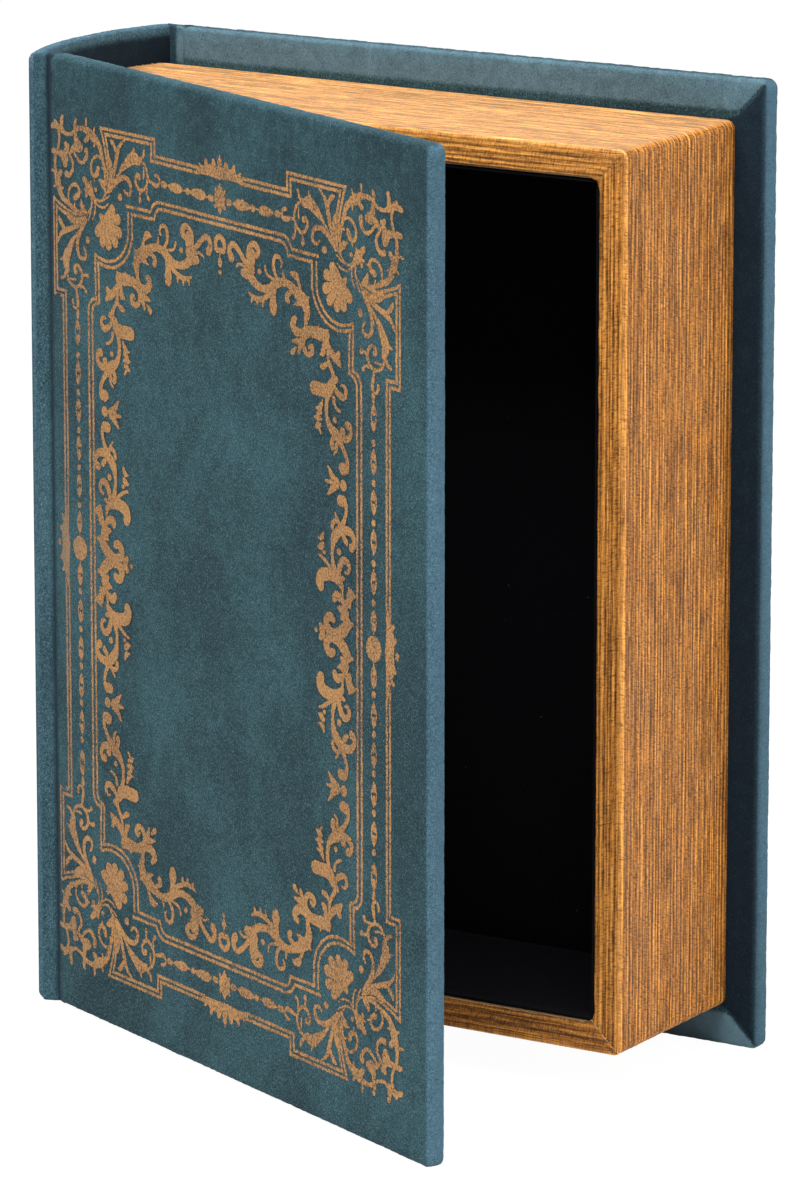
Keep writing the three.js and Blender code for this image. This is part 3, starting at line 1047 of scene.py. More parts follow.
@dataclass
class VelvetCase:
    """The covers, the spine and the two cloth joints in their velvet."""

    layout: Layout
    finishes: FinishSet

    # The painted shade of the spine's inner face and its turn-ins.
    PAINTED_SHADE = -0.95
    GROOVE_X, GROOVE_DEPTH = 3.4, 0.2
    SPINE_LEVEL, COVER_DROP = 1.2, 0.98

    def build(self) -> list[bpy.types.Object]:
        """Builds the whole case.

        Returns:
            The pieces, in the order that they were made.
        """
        return [self.back_cover(), self.spine(), self.back_joint(), self.front_cover(),
                self.front_joint()]

    def _cover_wrap(self, length: float, seed: float, tray_shadow_from: float) -> ClothWrap:
        """The wrap of a cover of some length, its head and foot turn-ins painted dark from some way in as
        the tray's contact shadow.
        """
        layout = self.layout
        window = (layout.joint_lap, length - layout.turn_in, layout.turn_in,
                  layout.height - layout.turn_in)
        return ClothWrap(length, layout.cover_thickness, layout.height, window=window, seed=seed,
                         tray_shadow_from=tray_shadow_from)

    @property
    def front_wrap(self) -> ClothWrap:
        """The front cover's wrap, on which the print lies."""
        return self._cover_wrap(self.layout.front_length, 7.7, self.layout.turn_in)

    def _declare(self, length: float) -> None:
        """Works out the flat size of a wrap's cloth with its turn-ins, and uses it for nothing.

        Args:
            length: The board's length.
        """
        layout = self.layout
        extra = layout.cover_thickness + layout.turn_in
        flat = ((length + extra + layout.cover_thickness) * MM, (layout.height + 2 * extra) * MM)

    def back_cover(self) -> bpy.types.Object:
        """The back cover's velvet, with its turn-ins seen round the tray."""
        layout = self.layout
        bm = self._cover_wrap(layout.back_length, 3.1, layout.fore_edge_square).build()
        place = Matrix.Translation((layout.cover_start_x, layout.case_back_y, 0))
        placed(bm, place @ Matrix.Scale(-1, 4, (0, 1, 0)))
        piece = as_piece("back_cover_velvet", bm, [self.finishes.case_velvet])
        thicken(piece, layout.cloth)
        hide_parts("back_velvet")
        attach(piece, CASE)
        self._declare(layout.back_length)
        return piece

    def front_cover(self) -> bpy.types.Object:
        """The front cover's velvet, which carries the print."""
        layout = self.layout
        bm = self.front_wrap.build()
        layout.sink(bm)
        placed(bm, layout.on_cover())
        piece = as_piece("front_cover_velvet", bm, [self.finishes.cover_velvet])
        thicken(piece, layout.cloth)
        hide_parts("front_velvet")
        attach(piece, COVER)
        self._declare(layout.front_length)
        return piece

    def spine(self) -> bpy.types.Object:
        """The spine's velvet, bent onto the bow."""
        layout = self.layout
        radius = layout.spine_radius
        girth = 2 * radius * math.asin(layout.depth / 2 / radius)
        border, drawn_reach = 1.4, 16
        wrap = ClothWrap(girth, layout.spine_thickness, layout.height, outer_edge=2.5,
                         inner_edge=1.0, corner=2.2, joint_corner=2.2, shoulder=0, seed=11.3,
                         cell=3.0, head_nap_and_shading=self.PAINTED_SHADE, foot_nap_and_shading=self.PAINTED_SHADE,
                         fore_edge_nap_and_shading=self.PAINTED_SHADE)
        bm = wrap.build()
        window = (border, girth - border, layout.turn_in, layout.height - layout.turn_in)
        wrap.open_window(bm, window, 0.2)
        self._paint_spine_shading(bm, wrap)
        for vert in bm.verts:
            angle = (vert.co.x - girth / 2) / radius
            drawn = max(1 - vert.co.x / drawn_reach, 0) ** 2
            drawn *= 1 - vert.co.y / layout.spine_thickness
            reach = radius - vert.co.y - self.drawn_in(vert.co.z) * drawn
            vert.co.x = layout.spine_centre.x - reach * math.cos(angle)
            vert.co.y = layout.spine_centre.y + reach * math.sin(angle)
        bmesh.ops.reverse_faces(bm, faces=bm.faces)
        piece = as_piece("spine_cover_velvet", bm, [self.finishes.case_velvet])
        thicken(piece, layout.cloth)
        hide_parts("spine_velvet")
        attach(piece, CASE)
        self._declare(girth)
        return piece

    @staticmethod
    def drawn_in(z: float) -> float:
        """How far the open cover draws the spine's front edge inwards at a height."""
        return 0.15 + 0.0018 * z

    def _paint_spine_shading(self, bm: bmesh.types.BMesh, wrap: ClothWrap) -> None:
        """Gives the spine its own painted light and shade in place of a cover's: its long edges only a
        little lighter, not as pale as a cover's fore-edge, its lit head lighter, and its inner face painted
        dark as shade.

        Args:
            bm: The spine's skin, before it is bent.
            wrap: Its sizes.
        """
        fold, brush = bm.verts.layers.float["fold"], bm.verts.layers.float["brush"]
        for vert in bm.verts:
            end_gap = min(vert.co.x, wrap.length - vert.co.x)
            drop = wrap.height - vert.co.z
            # Painted highlight along the long edges and over the head, which the light from above catches.
            edge_light = 0.7 * fade(end_gap, 0, 2.6) * fade(vert.co.y, 1.2, 2.0)
            head = fade(drop, 1.6, 3.0)
            vert[fold] = max(edge_light, head)
            # The inner face painted dark as shade.
            inside = ease((vert.co.y - 0.8 * wrap.thickness) / 0.6)
            vert[brush] = self.PAINTED_SHADE * inside * (1 - head)

    def _joint_bar(self, thick: float, seed: float) -> bmesh.types.BMesh:
        """The cloth that fills a joint, straight, with a soft groove beside the cover.

        Args:
            thick: How thick the folded cloth is.
            seed: Sets its unevenness.

        Returns:
            The mesh. X starts at the spine's side of the joint, Y at the covers' outer face.
        """
        layout = self.layout
        spine_lap, cover_lap, edge, nap = 2.4, 2.0, 0.8, -0.7
        width = layout.joint_width + spine_lap + cover_lap
        wrap = ClothWrap(width, thick, layout.height, outer_edge=edge, inner_edge=edge, corner=edge,
                         joint_corner=edge, shoulder=0, seed=seed, cell=0.8, rise_cell=3.2,
                         slack=0.1, fuzz=0.06, head_nap_and_shading=nap, foot_nap_and_shading=nap, fore_edge_nap_and_shading=nap)
        bm = wrap.build()
        brush, fold = bm.verts.layers.float["brush"], bm.verts.layers.float["fold"]
        for vert in bm.verts:
            place = vert.co.x - spine_lap
            off = place - self.GROOVE_X
            groove = bell(off, 1.6 if off < 0 else 1.1)
            dark = bell(off, 1.4 if off < 0 else 2.6)
            ends = min(vert.co.z, layout.height - vert.co.z)
            # Lighter at the head and foot, and a painted highlight towards the spine's side, lit like the
            # spine's bow.
            lighter_end = 0.35 * fade(ends, 0, 1.6) if vert.co.z > 1 else 0
            vert[fold] = max(lighter_end, 0.5 * fade(place, 1.0, 2.2))
            # Painted shade in the groove beside the cover.
            shade = wrap.JOINT_SHADE * dark * fade(vert.co.y, 0.5 * thick, thick)
            vert[brush] = min(vert[brush], 0) - shade
            vert.co.x = place
            fall = self.COVER_DROP * ease((place - 1.6) / 4.2)
            vert.co.y += (self.SPINE_LEVEL - fall + self.GROOVE_DEPTH * groove
                          + 0.31 * min(place, 0))
        return bm

    def front_joint(self) -> bpy.types.Object:
        """The hinge cloth between the spine and the front cover, which bends as the cover turns."""
        layout = self.layout
        bm = self._joint_bar(2.9, 17.9)
        pivot = Vector((layout.hinge.x, layout.hinge.y, 0))
        half = layout.joint_width / 2
        for vert in bm.verts:
            share = ease(vert.co.x / layout.joint_width)
            drawn = self.drawn_in(vert.co.z) * fade(vert.co.x, -1.5, 5)
            shift = Vector((vert.co.x - half + 0.9 * drawn, vert.co.y + 0.4 * drawn,
                            vert.co.z + layout.sag * share))
            vert.co = pivot + Matrix.Rotation(-layout.open_angle * share, 3, "Z") @ shift
        piece = as_piece("front_joint_velvet", bm, [self.finishes.cover_velvet])
        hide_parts("hinge_velvet")
        far = pivot + Matrix.Rotation(-layout.open_angle, 3, "Z") @ Vector((half, 0, 0))
        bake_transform(piece, CASE, COVER, start=(pivot - Vector((half, 0, 0))) * MM, end=far * MM)
        return piece

    def back_joint(self) -> bpy.types.Object:
        """The cloth between the spine and the back cover, with the lump of its head turn-in."""
        layout = self.layout
        bm = self._joint_bar(1.7, 23.5)
        brush = bm.verts.layers.float["brush"]
        inner_y, tray_top_z = 1.9, 247
        lump = Vector((layout.joint_width - 0.6, 0, layout.height - 6))
        for vert in bm.verts:
            if vert.co.y > inner_y:
                gap = math.hypot(vert.co.x - lump.x, (vert.co.z - lump.z) / 1.8)
                raised = bell(gap, 2.0)
                beside = ease((vert.co.x - 0.5) / 3.0)
                above = ease((vert.co.z - tray_top_z) / 3)
                vert.co.y += 1.9 * beside + 0.4 * raised
                # The inner side is painted dark as shade, and lighter where it stands above the tray's top
                # and on the lump.
                vert[brush] = -0.8 + 1.4 * beside * above + 0.2 * raised
        start_x = layout.cover_start_x - layout.joint_width
        place = Matrix.Translation((start_x, layout.case_back_y, 0))
        placed(bm, place @ Matrix.Scale(-1, 4, (0, 1, 0)))
        piece = as_piece("back_joint_cloth", bm, [self.finishes.case_velvet])
        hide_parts("back_joint_velvet")
        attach(piece, CASE)
        return piece


# Page edges


class Side(Enum):
    """The sides of the tray's rim."""

    TOP = "top"
    FORE_EDGE = "fore_edge"
    BOTTOM = "bottom"
    SPINE = "spine"


@dataclass
class Ribs:
    """Uneven ribs that run along a sheet, one after another across it."""

    pitch: float
    seed: int
    points: int = 6

    NARROW_SHARE = 0.4
    SHARPNESS = 2.2

    def section(self, start: float, end: float) -> list[tuple[float, float]]:
        """Places along the section with their heights from 0, in a valley, to 1, on a crest.

        Args:
            start: Where the section begins.
            end: Where it ends.

        Returns:
            Pairs of a place and a height.
        """
        draw = random.Random(self.seed)
        made = [(start, 0.4)]
        place = start
        while place < end - 0.3 * self.pitch:
            narrow = draw.random() < self.NARROW_SHARE
            breadth = draw.uniform(0.35, 0.6) if narrow else draw.uniform(0.9, 1.5)
            width = min(self.pitch * breadth, end - place)
            crest = draw.uniform(0.45, 0.8) if narrow else draw.uniform(0.6, 1.0)
            lean = draw.uniform(0.8, 1.3)
            for index in range(1, self.points + 1):
                share = index / self.points
                swell = max(math.sin(math.pi * share ** lean), 0) ** self.SHARPNESS
                made.append((place + width * share, crest * swell))
            place += width
        return made


@dataclass
class PageEdges:
    """The ribbed paper over the tray's three open sides and over its rim.

    The ribs stand up by the relief. The lap is how far a flap reaches into the fold. The highlights
    and tones say how much lighter or darker the paper is painted: lit on the top face, along the
    fold and on the top flap, shaded on the bottom flap.
    """

    layout: Layout
    finishes: FinishSet
    corner: float = 2.5
    fold: float = 1.2
    rim: float = 8.2
    relief: float = 0.2
    pitch: float = 1.4
    paper: float = 0.35

    CORNER_STEPS = 7
    WRAP_CELL, FLAP_CELL = 7.0, 1.6
    RISE, LAP, PROUD = 0.9, 0.35, 0.02
    # Painted highlight on the top face and along the fold. Each flap's tone: the top flap painted lighter as
    # lit from above, the bottom flap painted darker as shaded by the front cover.
    TOP_RUB, FOLD_RUB = 0.3, 0.13
    FLAP_TONE_AND_SHADING = {Side.TOP: 0.16, Side.BOTTOM: -0.05, Side.FORE_EDGE: 0.1, Side.SPINE: 0.1}
    END_LIFT = {Side.TOP: 0.12, Side.BOTTOM: 0.12, Side.FORE_EDGE: 0.05, Side.SPINE: 0.05}

    def __post_init__(self) -> None:
        """Reads where the paper goes from its node."""
        self.low, self.high = (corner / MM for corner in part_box("page_edge_paper"))

    def build(self) -> list[bpy.types.Object]:
        """Builds the wrap and the four flaps of the rim.

        Returns:
            The pieces.
        """
        return [self.wrap()] + [self.flap(side) for side in Side]

    def _section(self) -> list[tuple[float, float, float]]:
        """The wrap's section from the back cover to just past the fold onto the rim.

        Returns:
            For each point its depth, how far it lies under the crests' level, and its rib height.
        """
        ribs = Ribs(self.pitch, seed=41)
        front = self.low.y + self.fold
        made = [(self.high.y - place, self.relief * (1 - height), height)
                for place, height in ribs.section(0, self.high.y - front)]
        for index in range(1, self.CORNER_STEPS + 1):
            turn = math.pi / 2 * index / self.CORNER_STEPS
            height = 0.75 + 0.25 * math.cos(2 * turn)
            sunk = self.relief * (1 - height)
            made.append((front - (self.fold - sunk) * math.sin(turn),
                         self.fold - (self.fold - sunk) * math.cos(turn), height))
        made.append((self.low.y + self.relief, self.fold + 1.0, 0.0))
        return made

    def wrap(self) -> bpy.types.Object:
        """One sheet round the tray: under it, up the fore-edge and back along the top.

        Returns:
            The piece.
        """
        bm = bmesh.new()
        edges = self._draw(bm, [((self.layout.tray_end_x(depth), depth, self.low.z + sunk), height)
                                for depth, sunk, height in self._section()])
        corner_x = self.high.x - self.corner
        edges = self._run_to(bm, edges, 0, corner_x)
        edges = self._turn(bm, edges, (corner_x, 0, self.low.z + self.corner))
        edges = self._run_to(bm, edges, 2, self.high.z - self.corner)
        edges = self._turn(bm, edges, (corner_x, 0, self.high.z - self.corner))
        self._run_to(bm, edges, 0, None)
        bmesh.ops.remove_doubles(bm, verts=bm.verts, dist=HAIR)
        for axis, start, end in ((0, self.low.x, corner_x), (2, self.low.z, self.high.z)):
            score_evenly(bm, axis, start, end, self.WRAP_CELL)
        bmesh.ops.recalc_face_normals(bm, faces=bm.faces)
        self._unroll(bm)
        self._drift(bm)
        piece = as_piece("page_edge_wrap", bm, [self.finishes.page_paper])
        thicken(piece, self.paper)
        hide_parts("page_edge_paper")
        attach(piece, CASE)
        return piece

    @staticmethod
    def _draw(bm: bmesh.types.BMesh,
              section: Sequence[tuple[Sequence[float], float]]) -> list[bmesh.types.BMEdge]:
        """Draws the line of a section.

        Args:
            bm: A new mesh.
            section: Each point's place and its rib height.

        Returns:
            The line's edges.
        """
        rib = bm.verts.layers.float.new("rib")
        chain = []
        for place, height in section:
            vert = bm.verts.new(place)
            vert[rib] = height
            chain.append(vert)
        return [bm.edges.new(pair) for pair in zip(chain, chain[1:])]

    def _run_to(self, bm: bmesh.types.BMesh, edges: list[bmesh.types.BMEdge], axis: int,
                place: float | None) -> list[bmesh.types.BMEdge]:
        """Extrudes the section straight on, up to a place along an axis or to the bowed end.

        Args:
            bm: The sheet.
            edges: The section's edges, where the sheet ends now.
            axis: The axis that it runs along.
            place: Where it stops, or None for the tray's bowed end.

        Returns:
            The section's edges at the new end.
        """
        made = bmesh.ops.extrude_edge_only(bm, edges=edges)["geom"]
        for vert in (item for item in made if isinstance(item, bmesh.types.BMVert)):
            vert.co[axis] = self.layout.tray_end_x(vert.co.y) if place is None else place
        return [item for item in made if isinstance(item, bmesh.types.BMEdge)]

    def _turn(self, bm: bmesh.types.BMesh, edges: list[bmesh.types.BMEdge],
              centre: Sequence[float]) -> list[bmesh.types.BMEdge]:
        """Spins the section a quarter turn round a corner of the tray.

        Args:
            bm: The sheet.
            edges: The section's edges.
            centre: The corner's centre.

        Returns:
            The section's edges after the turn.
        """
        verts = list(dict.fromkeys(vert for edge in edges for vert in edge.verts))
        made = bmesh.ops.spin(bm, geom=verts + edges, cent=centre, axis=(0, 1, 0), dvec=(0, 0, 0),
                              angle=-math.pi / 2, steps=self.CORNER_STEPS, use_duplicate=False)
        return [item for item in made["geom_last"] if isinstance(item, bmesh.types.BMEdge)]

    def _way(self, point: Vector) -> float:
        """How far along the sheet a point lies, from the spine's end of the tray's bottom."""
        corner_x = self.high.x - self.corner
        low_z, high_z = self.low.z + self.corner, self.high.z - self.corner
        run = corner_x - self.low.x
        quarter = self.corner * math.pi / 2
        if point.x < corner_x:
            inwards = point.x - self.low.x
            if point.z < (low_z + high_z) / 2:
                return inwards
            return 2 * run + 2 * quarter + high_z - low_z - inwards
        if point.z < low_z:
            return run + self.corner * math.atan2(point.x - corner_x, low_z - point.z)
        if point.z > high_z:
            turned = math.atan2(point.z - high_z, point.x - corner_x)
            return run + quarter + high_z - low_z + self.corner * turned
        return run + quarter + point.z - low_z

    def _unroll(self, bm: bmesh.types.BMesh) -> None:
        """Writes the flat sheet's own coordinates, in metres, into a UV map.

        Args:
            bm: The sheet.
        """
        uv = bm.loops.layers.uv.new("sheet")
        for face in bm.faces:
            for loop in face.loops:
                loop[uv].uv = (self._way(loop.vert.co) * MM, (self.high.y - loop.vert.co.y) * MM)

    def _drift(self, bm: bmesh.types.BMesh) -> None:
        """Notes where a highlight is painted on the sheet, on its top face and along its fold, and lets its
        ribs wander, except at its borders.

        Args:
            bm: The sheet.
        """
        rub = bm.verts.layers.float.new("rub")
        for vert in bm.verts:
            # Painted highlight on the top face and along the fold.
            on_top = ease((vert.co.z - self.high.z + 1.0) / 0.9)
            on_fold = ease((self.low.y + self.fold + 0.4 - vert.co.y) / 0.6)
            vert[rub] = max(self.TOP_RUB * on_top, self.FOLD_RUB * on_fold)
            inside = min(vert.co.y - self.low.y - 2 * self.fold, self.high.y - 0.5 - vert.co.y)
            vert.co.y += waver(vert.co, 16, 3.0).y * 0.22 * ease(inside / 2)
            vert.co.z += self._rise(vert.co)

    def _rise(self, point: Vector) -> float:
        """How much higher the tray's head stands towards the spine."""
        inwards = max(self.high.x - self.corner - point.x, 0) / 180
        return self.RISE * inwards ** 1.3 * ease((point.z - self.high.z + 30) / 20)

    def flap(self, side: Side) -> bpy.types.Object:
        """One side of the rim: a ribbed strip with mitred ends, its cut edges a little lifted.

        Args:
            side: Which side.

        Returns:
            The piece.
        """
        start, end, inner, outer, upright = self._span(side)
        width = self.rim - self.fold + self.LAP
        ribs = Ribs(self.pitch, seed=53 + list(Side).index(side))
        section = []
        for place, height in ribs.section(0, width):
            across = outer + (inner - outer) * place / width
            level = self.low.y + self.relief * (1 - height) - self.PROUD
            section.append(((across, level, start) if upright else (start, level, across), height))
        bm = bmesh.new()
        axis = 2 if upright else 0
        self._run_to(bm, self._draw(bm, section), axis, end)
        score_evenly(bm, axis, start, end, self.FLAP_CELL)
        for through, facing in self._mitres(side):
            trim(bm, through, facing)
        face_front(bm)
        self._lay(bm, side)
        papers = [self.finishes.page_paper, self.finishes.cut_paper]
        piece = as_piece(f"rim_flap_{side.value}", bm, papers)
        thicken(piece, self.paper * 0.8, rim_finish=1)
        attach(piece, CASE)
        return piece

    def _span(self, side: Side) -> tuple[float, float, float, float, bool]:
        """Where a flap lies.

        Args:
            side: Which side of the rim.

        Returns:
            Its start and end along its length, its inner and outer borders, and whether it is
            upright.
        """
        spine_x = self.layout.tray_end_x(self.low.y + 1)
        inset = self.fold - self.LAP
        upright = side in (Side.FORE_EDGE, Side.SPINE)
        start, end = (self.low.z, self.high.z) if upright else (spine_x, self.high.x)
        inner, outer = {
            Side.TOP: (self.high.z - self.rim, self.high.z - inset),
            Side.BOTTOM: (self.low.z + self.rim, self.low.z + inset),
            Side.FORE_EDGE: (self.high.x - self.rim, self.high.x - inset),
            Side.SPINE: (self.opening_left, spine_x + 0.1),
        }[side]
        return start, end, inner, outer, upright

    @property
    def opening_left(self) -> float:
        """The opening's border by the spine."""
        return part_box("lining_spine")[0].x / MM - self.layout.glue_line

    def _mitres(self, side: Side) -> list[tuple[Sequence[float], Sequence[float]]]:
        """The cutting planes of a flap's two ends.

        Args:
            side: Which side of the rim.

        Returns:
            A point and a facing for each plane. What lies on the facing side goes.
        """
        right = self.high.x - self.rim
        low_z, high_z = self.low.z + self.rim, self.high.z - self.rim
        left = self.opening_left
        play = 0.06
        if side in (Side.TOP, Side.BOTTOM):
            z, way = (high_z, -1) if side is Side.TOP else (low_z, 1)
            return [((right - play, 0, z), (1, 0, way)), ((left + play, 0, z), (-1, 0, way))]
        x, way = (right + play, -1) if side is Side.FORE_EDGE else (left - play, 1)
        return [((x, 0, high_z), (way, 0, 1)), ((x, 0, low_z), (way, 0, -1))]

    def _lay(self, bm: bmesh.types.BMesh, side: Side) -> None:
        """Gives a flap its own coordinates, its uneven opening edge and its lifted ends.

        Args:
            bm: The flap.
            side: Which side of the rim it is.
        """
        _, _, inner, outer, upright = self._span(side)
        uv = bm.loops.layers.uv.new("sheet")
        run, across = (2, 0) if upright else (0, 2)
        shift = 0.31 * list(Side).index(side)
        for face in bm.faces:
            for loop in face.loops:
                place = loop.vert.co
                loop[uv].uv = (place[run] * MM + shift, place[across] * MM)
        planes = [(Vector(through), Vector(facing).normalized())
                  for through, facing in self._mitres(side)]
        rub = bm.verts.layers.float.new("rub")
        outwards = 1 if inner > outer else -1
        for vert in bm.verts:
            gap = min((through - vert.co).dot(facing) for through, facing in planes)
            vert.co.y -= self.END_LIFT[side] * fade(gap, 0, 1.6)
            near = fade(abs(vert.co[across] - inner), 0, 1.1)
            nick = max(noise.noise(Vector((vert.co[run] / 3.1, shift * 9, 0))) - 0.25, 0) * 0.9
            wave = waver(vert.co, 5, shift).x * 0.16
            # Each flap's tone, with painted light on the top flap and painted shade on the bottom one.
            vert[rub] = self.FLAP_TONE_AND_SHADING[side]
            vert.co[across] += near * (wave - outwards * nick)
            up = 1 if vert.co.z > (self.low.z + self.high.z) / 2 else -1
            corner_z = (self.high.z if up > 0 else self.low.z) - up * self.rim
            away = math.hypot(vert.co.x - self.high.x + self.rim, vert.co.z - corner_z)
            tucked = 0.7 * near * fade(away, 0, 3.0)
            vert.co += Vector((-tucked, 0, self._rise(vert.co) - up * tucked))


# Printed frame


# The height of one quarter of the frame and the width of its rules, in drawing units.
HALF_HEIGHT = 1936
RULE_WIDTH = 16


@dataclass(frozen=True)
class Stroke:
    """One brush stroke of the printed frame: places with their widths, in drawing units.

    A ruled stroke keeps its long stretches straight and its corners sharp.
    """

    points: tuple[tuple[float, float, float], ...]
    ruled: bool = False

    LONG = 60.0
    CORNER = math.radians(50)
    END_TURNS = tuple(math.radians(degrees) for degrees in (22, 45, 67, 86))
    DIAGONAL = (1392, 1349)

    def across_diagonal(self) -> "Stroke":
        """The same stroke on the other side of the corner's diagonal."""
        x_sum, y_sum = self.DIAGONAL
        points = tuple((x_sum - y, y_sum - x, width) for x, y, width in self.points)
        return Stroke(points, self.ruled)

    def _ways(self) -> list[tuple[Vector, Vector]]:
        """The directions in which the stroke reaches and leaves each of its points.

        Returns:
            Pairs of unit vectors, alike where the stroke runs smoothly through.
        """
        places = [Vector(point[:2]) for point in self.points]
        legs = [after - before for before, after in zip(places, places[1:])]
        made = []
        for before, after in zip(legs[:1] + legs, legs + legs[-1:]):
            ways = before.normalized(), after.normalized()
            if self.ruled and ways[0].angle(ways[1]) > self.CORNER:
                made.append(ways)
                continue
            way = ways[0] * after.length + ways[1] * before.length
            if self.ruled and max(before.length, after.length) > self.LONG:
                way = max(before, after, key=lambda leg: leg.length)
            made.append((way.normalized(), way.normalized()))
        if not self.ruled and len(legs) > 1:
            for end, beside, leg in ((0, 1, legs[0]), (-1, -2, legs[-1])):
                chord, way = leg.normalized(), made[beside][0]
                bent = (2 * way.dot(chord) * chord - way).normalized()
                made[end] = (bent, bent)
        return made

    def run(self, step: float) -> list[tuple[Vector, float]]:
        """Places along the stroke with half its width, its round ends included.

        Args:
            step: The greatest distance between two places.

        Returns:
            Pairs of a place and a half width.
        """
        ways = self._ways()
        made = []
        for index, (start, end) in enumerate(zip(self.points, self.points[1:])):
            here, there = Vector(start[:2]), Vector(end[:2])
            length = (there - here).length
            leave, reach = ways[index][1] * length, ways[index + 1][0] * length
            straight = self.ruled and length > self.LONG
            count = 1 if straight else max(math.ceil(length / step), 2)
            for part in range(0 if index == 0 else 1, count + 1):
                share = part / count
                square, cube = share ** 2, share ** 3
                place = (here * (2 * cube - 3 * square + 1) + leave * (cube - 2 * square + share)
                         + there * (3 * square - 2 * cube) + reach * (cube - square))
                made.append((place, (start[2] + (end[2] - start[2]) * share) / 2))
        return self._round_ends(made)

    @staticmethod
    def _round_ends(run: list[tuple[Vector, float]]) -> list[tuple[Vector, float]]:
        """Adds half a round to each end of a run.

        Args:
            run: Places with half widths.

        Returns:
            The run with its ends.
        """
        ends = []
        for (place, half), (inner, _) in ((run[0], run[1]), (run[-1], run[-2])):
            way = (place - inner).normalized()
            ends.append([(place + way * half * math.sin(turn), half * math.cos(turn))
                         for turn in Stroke.END_TURNS])
        return ends[0][::-1] + run + ends[1]

    def outline(self, step: float) -> list[tuple[Vector, Vector, float]]:
        """The stroke's two borders, kept from folding over one another in tight turns.

        Args:
            step: The greatest distance between two places along it.

        Returns:
            For each place its left and right border points and its half width.
        """
        run = self.run(step)
        places = [place for place, _ in run]
        legs = [after - before for before, after in zip(places, places[1:])]
        made = []
        for (place, half), before, after in zip(run, legs[:1] + legs, legs + legs[-1:]):
            way = (before.normalized() + after.normalized()).normalized()
            across = Vector((-way.y, way.x))
            turn = before.angle_signed(after, 0.0)
            reach = half / max(math.cos(turn / 2), 0.6) if self.ruled else half
            left = right = reach
            if not self.ruled and abs(turn) > 1e-4:
                radius = 0.92 * (before.length + after.length) / 2 / abs(turn)
                if turn < 0:
                    left = min(left, radius)
                else:
                    right = min(right, radius)
            made.append((place + across * left, place - across * right, half))
        return made


def swept(*points: tuple[float, float, float]) -> Stroke:
    """A freehand stroke through places with their widths."""
    return Stroke(points)


def ruled(*places: tuple[float, float]) -> Stroke:
    """A thin ruled line through places."""
    return Stroke(tuple((x, y, RULE_WIDTH) for x, y in places), ruled=True)


def bead(x: float, y: float, half_length: float, half_height: float) -> Stroke:
    """An oval dot.

    Args:
        x: Its middle, outwards.
        y: Its middle, downwards.
        half_length: Half its size outwards.
        half_height: Half its size downwards.

    Returns:
        The dot as a short wide stroke with round ends.
    """
    half = min(half_length, half_height)
    reach_x, reach_y = max(half_length - half, 0.5), max(half_height - half, 0)
    return Stroke(((x - reach_x, y - reach_y, 2 * half), (x + reach_x, y + reach_y, 2 * half)))


RULES = (
    ruled((160, 165), (497, 165), (497, 95), (915, 95), (893, 150), (875, 210), (866, 260),
          (868, 310), (880, 345)),
    ruled((160, 188), (522, 188), (522, 118), (880, 118), (868, 160), (855, 210), (848, 260),
          (850, 310), (862, 350)),
    ruled((1227, 1780), (1227, 852), (1297, 852), (1297, 434), (1242, 456), (1182, 474),
          (1132, 483), (1082, 481), (1047, 469)),
    ruled((1204, 1780), (1204, 827), (1274, 827), (1274, 469), (1232, 481), (1182, 494),
          (1132, 501), (1082, 499), (1042, 487)),
    ruled((0, 355), (460, 353), (490, 360), (515, 378), (530, 402), (700, 402)),
    ruled((0, 380), (450, 380), (475, 387), (492, 403), (503, 430), (675, 432), (675, 520),
          (690, 575), (720, 620), (765, 655), (820, 675), (875, 680), (930, 672), (950, 668),
          (942, 700), (940, 842), (965, 850), (985, 865), (995, 890), (995, 1936)),
    ruled((705, 430), (707, 520), (722, 570), (750, 605), (790, 635), (840, 652), (890, 655),
          (935, 648), (960, 640)),
    ruled((968, 660), (968, 700), (965, 830), (985, 832), (1010, 850), (1025, 880), (1025, 1936)),
    bead(712, 402, 12, 10),
    bead(968, 642, 10, 12),
)

TOP_CREST = (
    swept((0, 170, 50), (50, 165, 52), (100, 165, 50), (140, 175, 30), (165, 178, 22)),
    swept((0, 150, 40), (0, 116, 34), (0, 96, 12)),
    swept((42, 150, 36), (48, 126, 28)),
    swept((98, 152, 36), (106, 126, 20)),
    swept((140, 165, 26), (152, 148, 14)),
)

SIDE_CREST = (
    swept((1222, 1936, 66), (1228, 1890, 62), (1226, 1850, 54), (1216, 1805, 36), (1210, 1765, 20)),
    swept((1240, 1890, 34), (1262, 1872, 26)),
    swept((1232, 1840, 30), (1252, 1818, 20)),
    swept((1220, 1800, 20), (1234, 1776, 10)),
    bead(1278, 1936, 13, 17),
)

TOP_CHAIN = (
    bead(0, 272, 42, 44),
    swept((0, 240, 40), (0, 222, 28), (0, 214, 12)),
    swept((0, 304, 40), (0, 322, 28), (0, 330, 12)),
    swept((24, 250, 30), (34, 238, 18)),
    swept((24, 294, 30), (34, 306, 18)),
    bead(68, 278, 22, 16),
    swept((45, 278, 8), (110, 278, 8)),
    swept((105, 278, 14), (125, 276, 44), (165, 275, 48), (205, 275, 32), (228, 276, 12)),
    bead(245, 276, 16, 16),
    swept((255, 276, 8), (290, 276, 8)),
    swept((285, 276, 12), (305, 276, 40), (340, 275, 44), (370, 275, 34), (395, 274, 10)),
    bead(425, 273, 22, 16),
    swept((395, 273, 8), (455, 270, 8)),
)


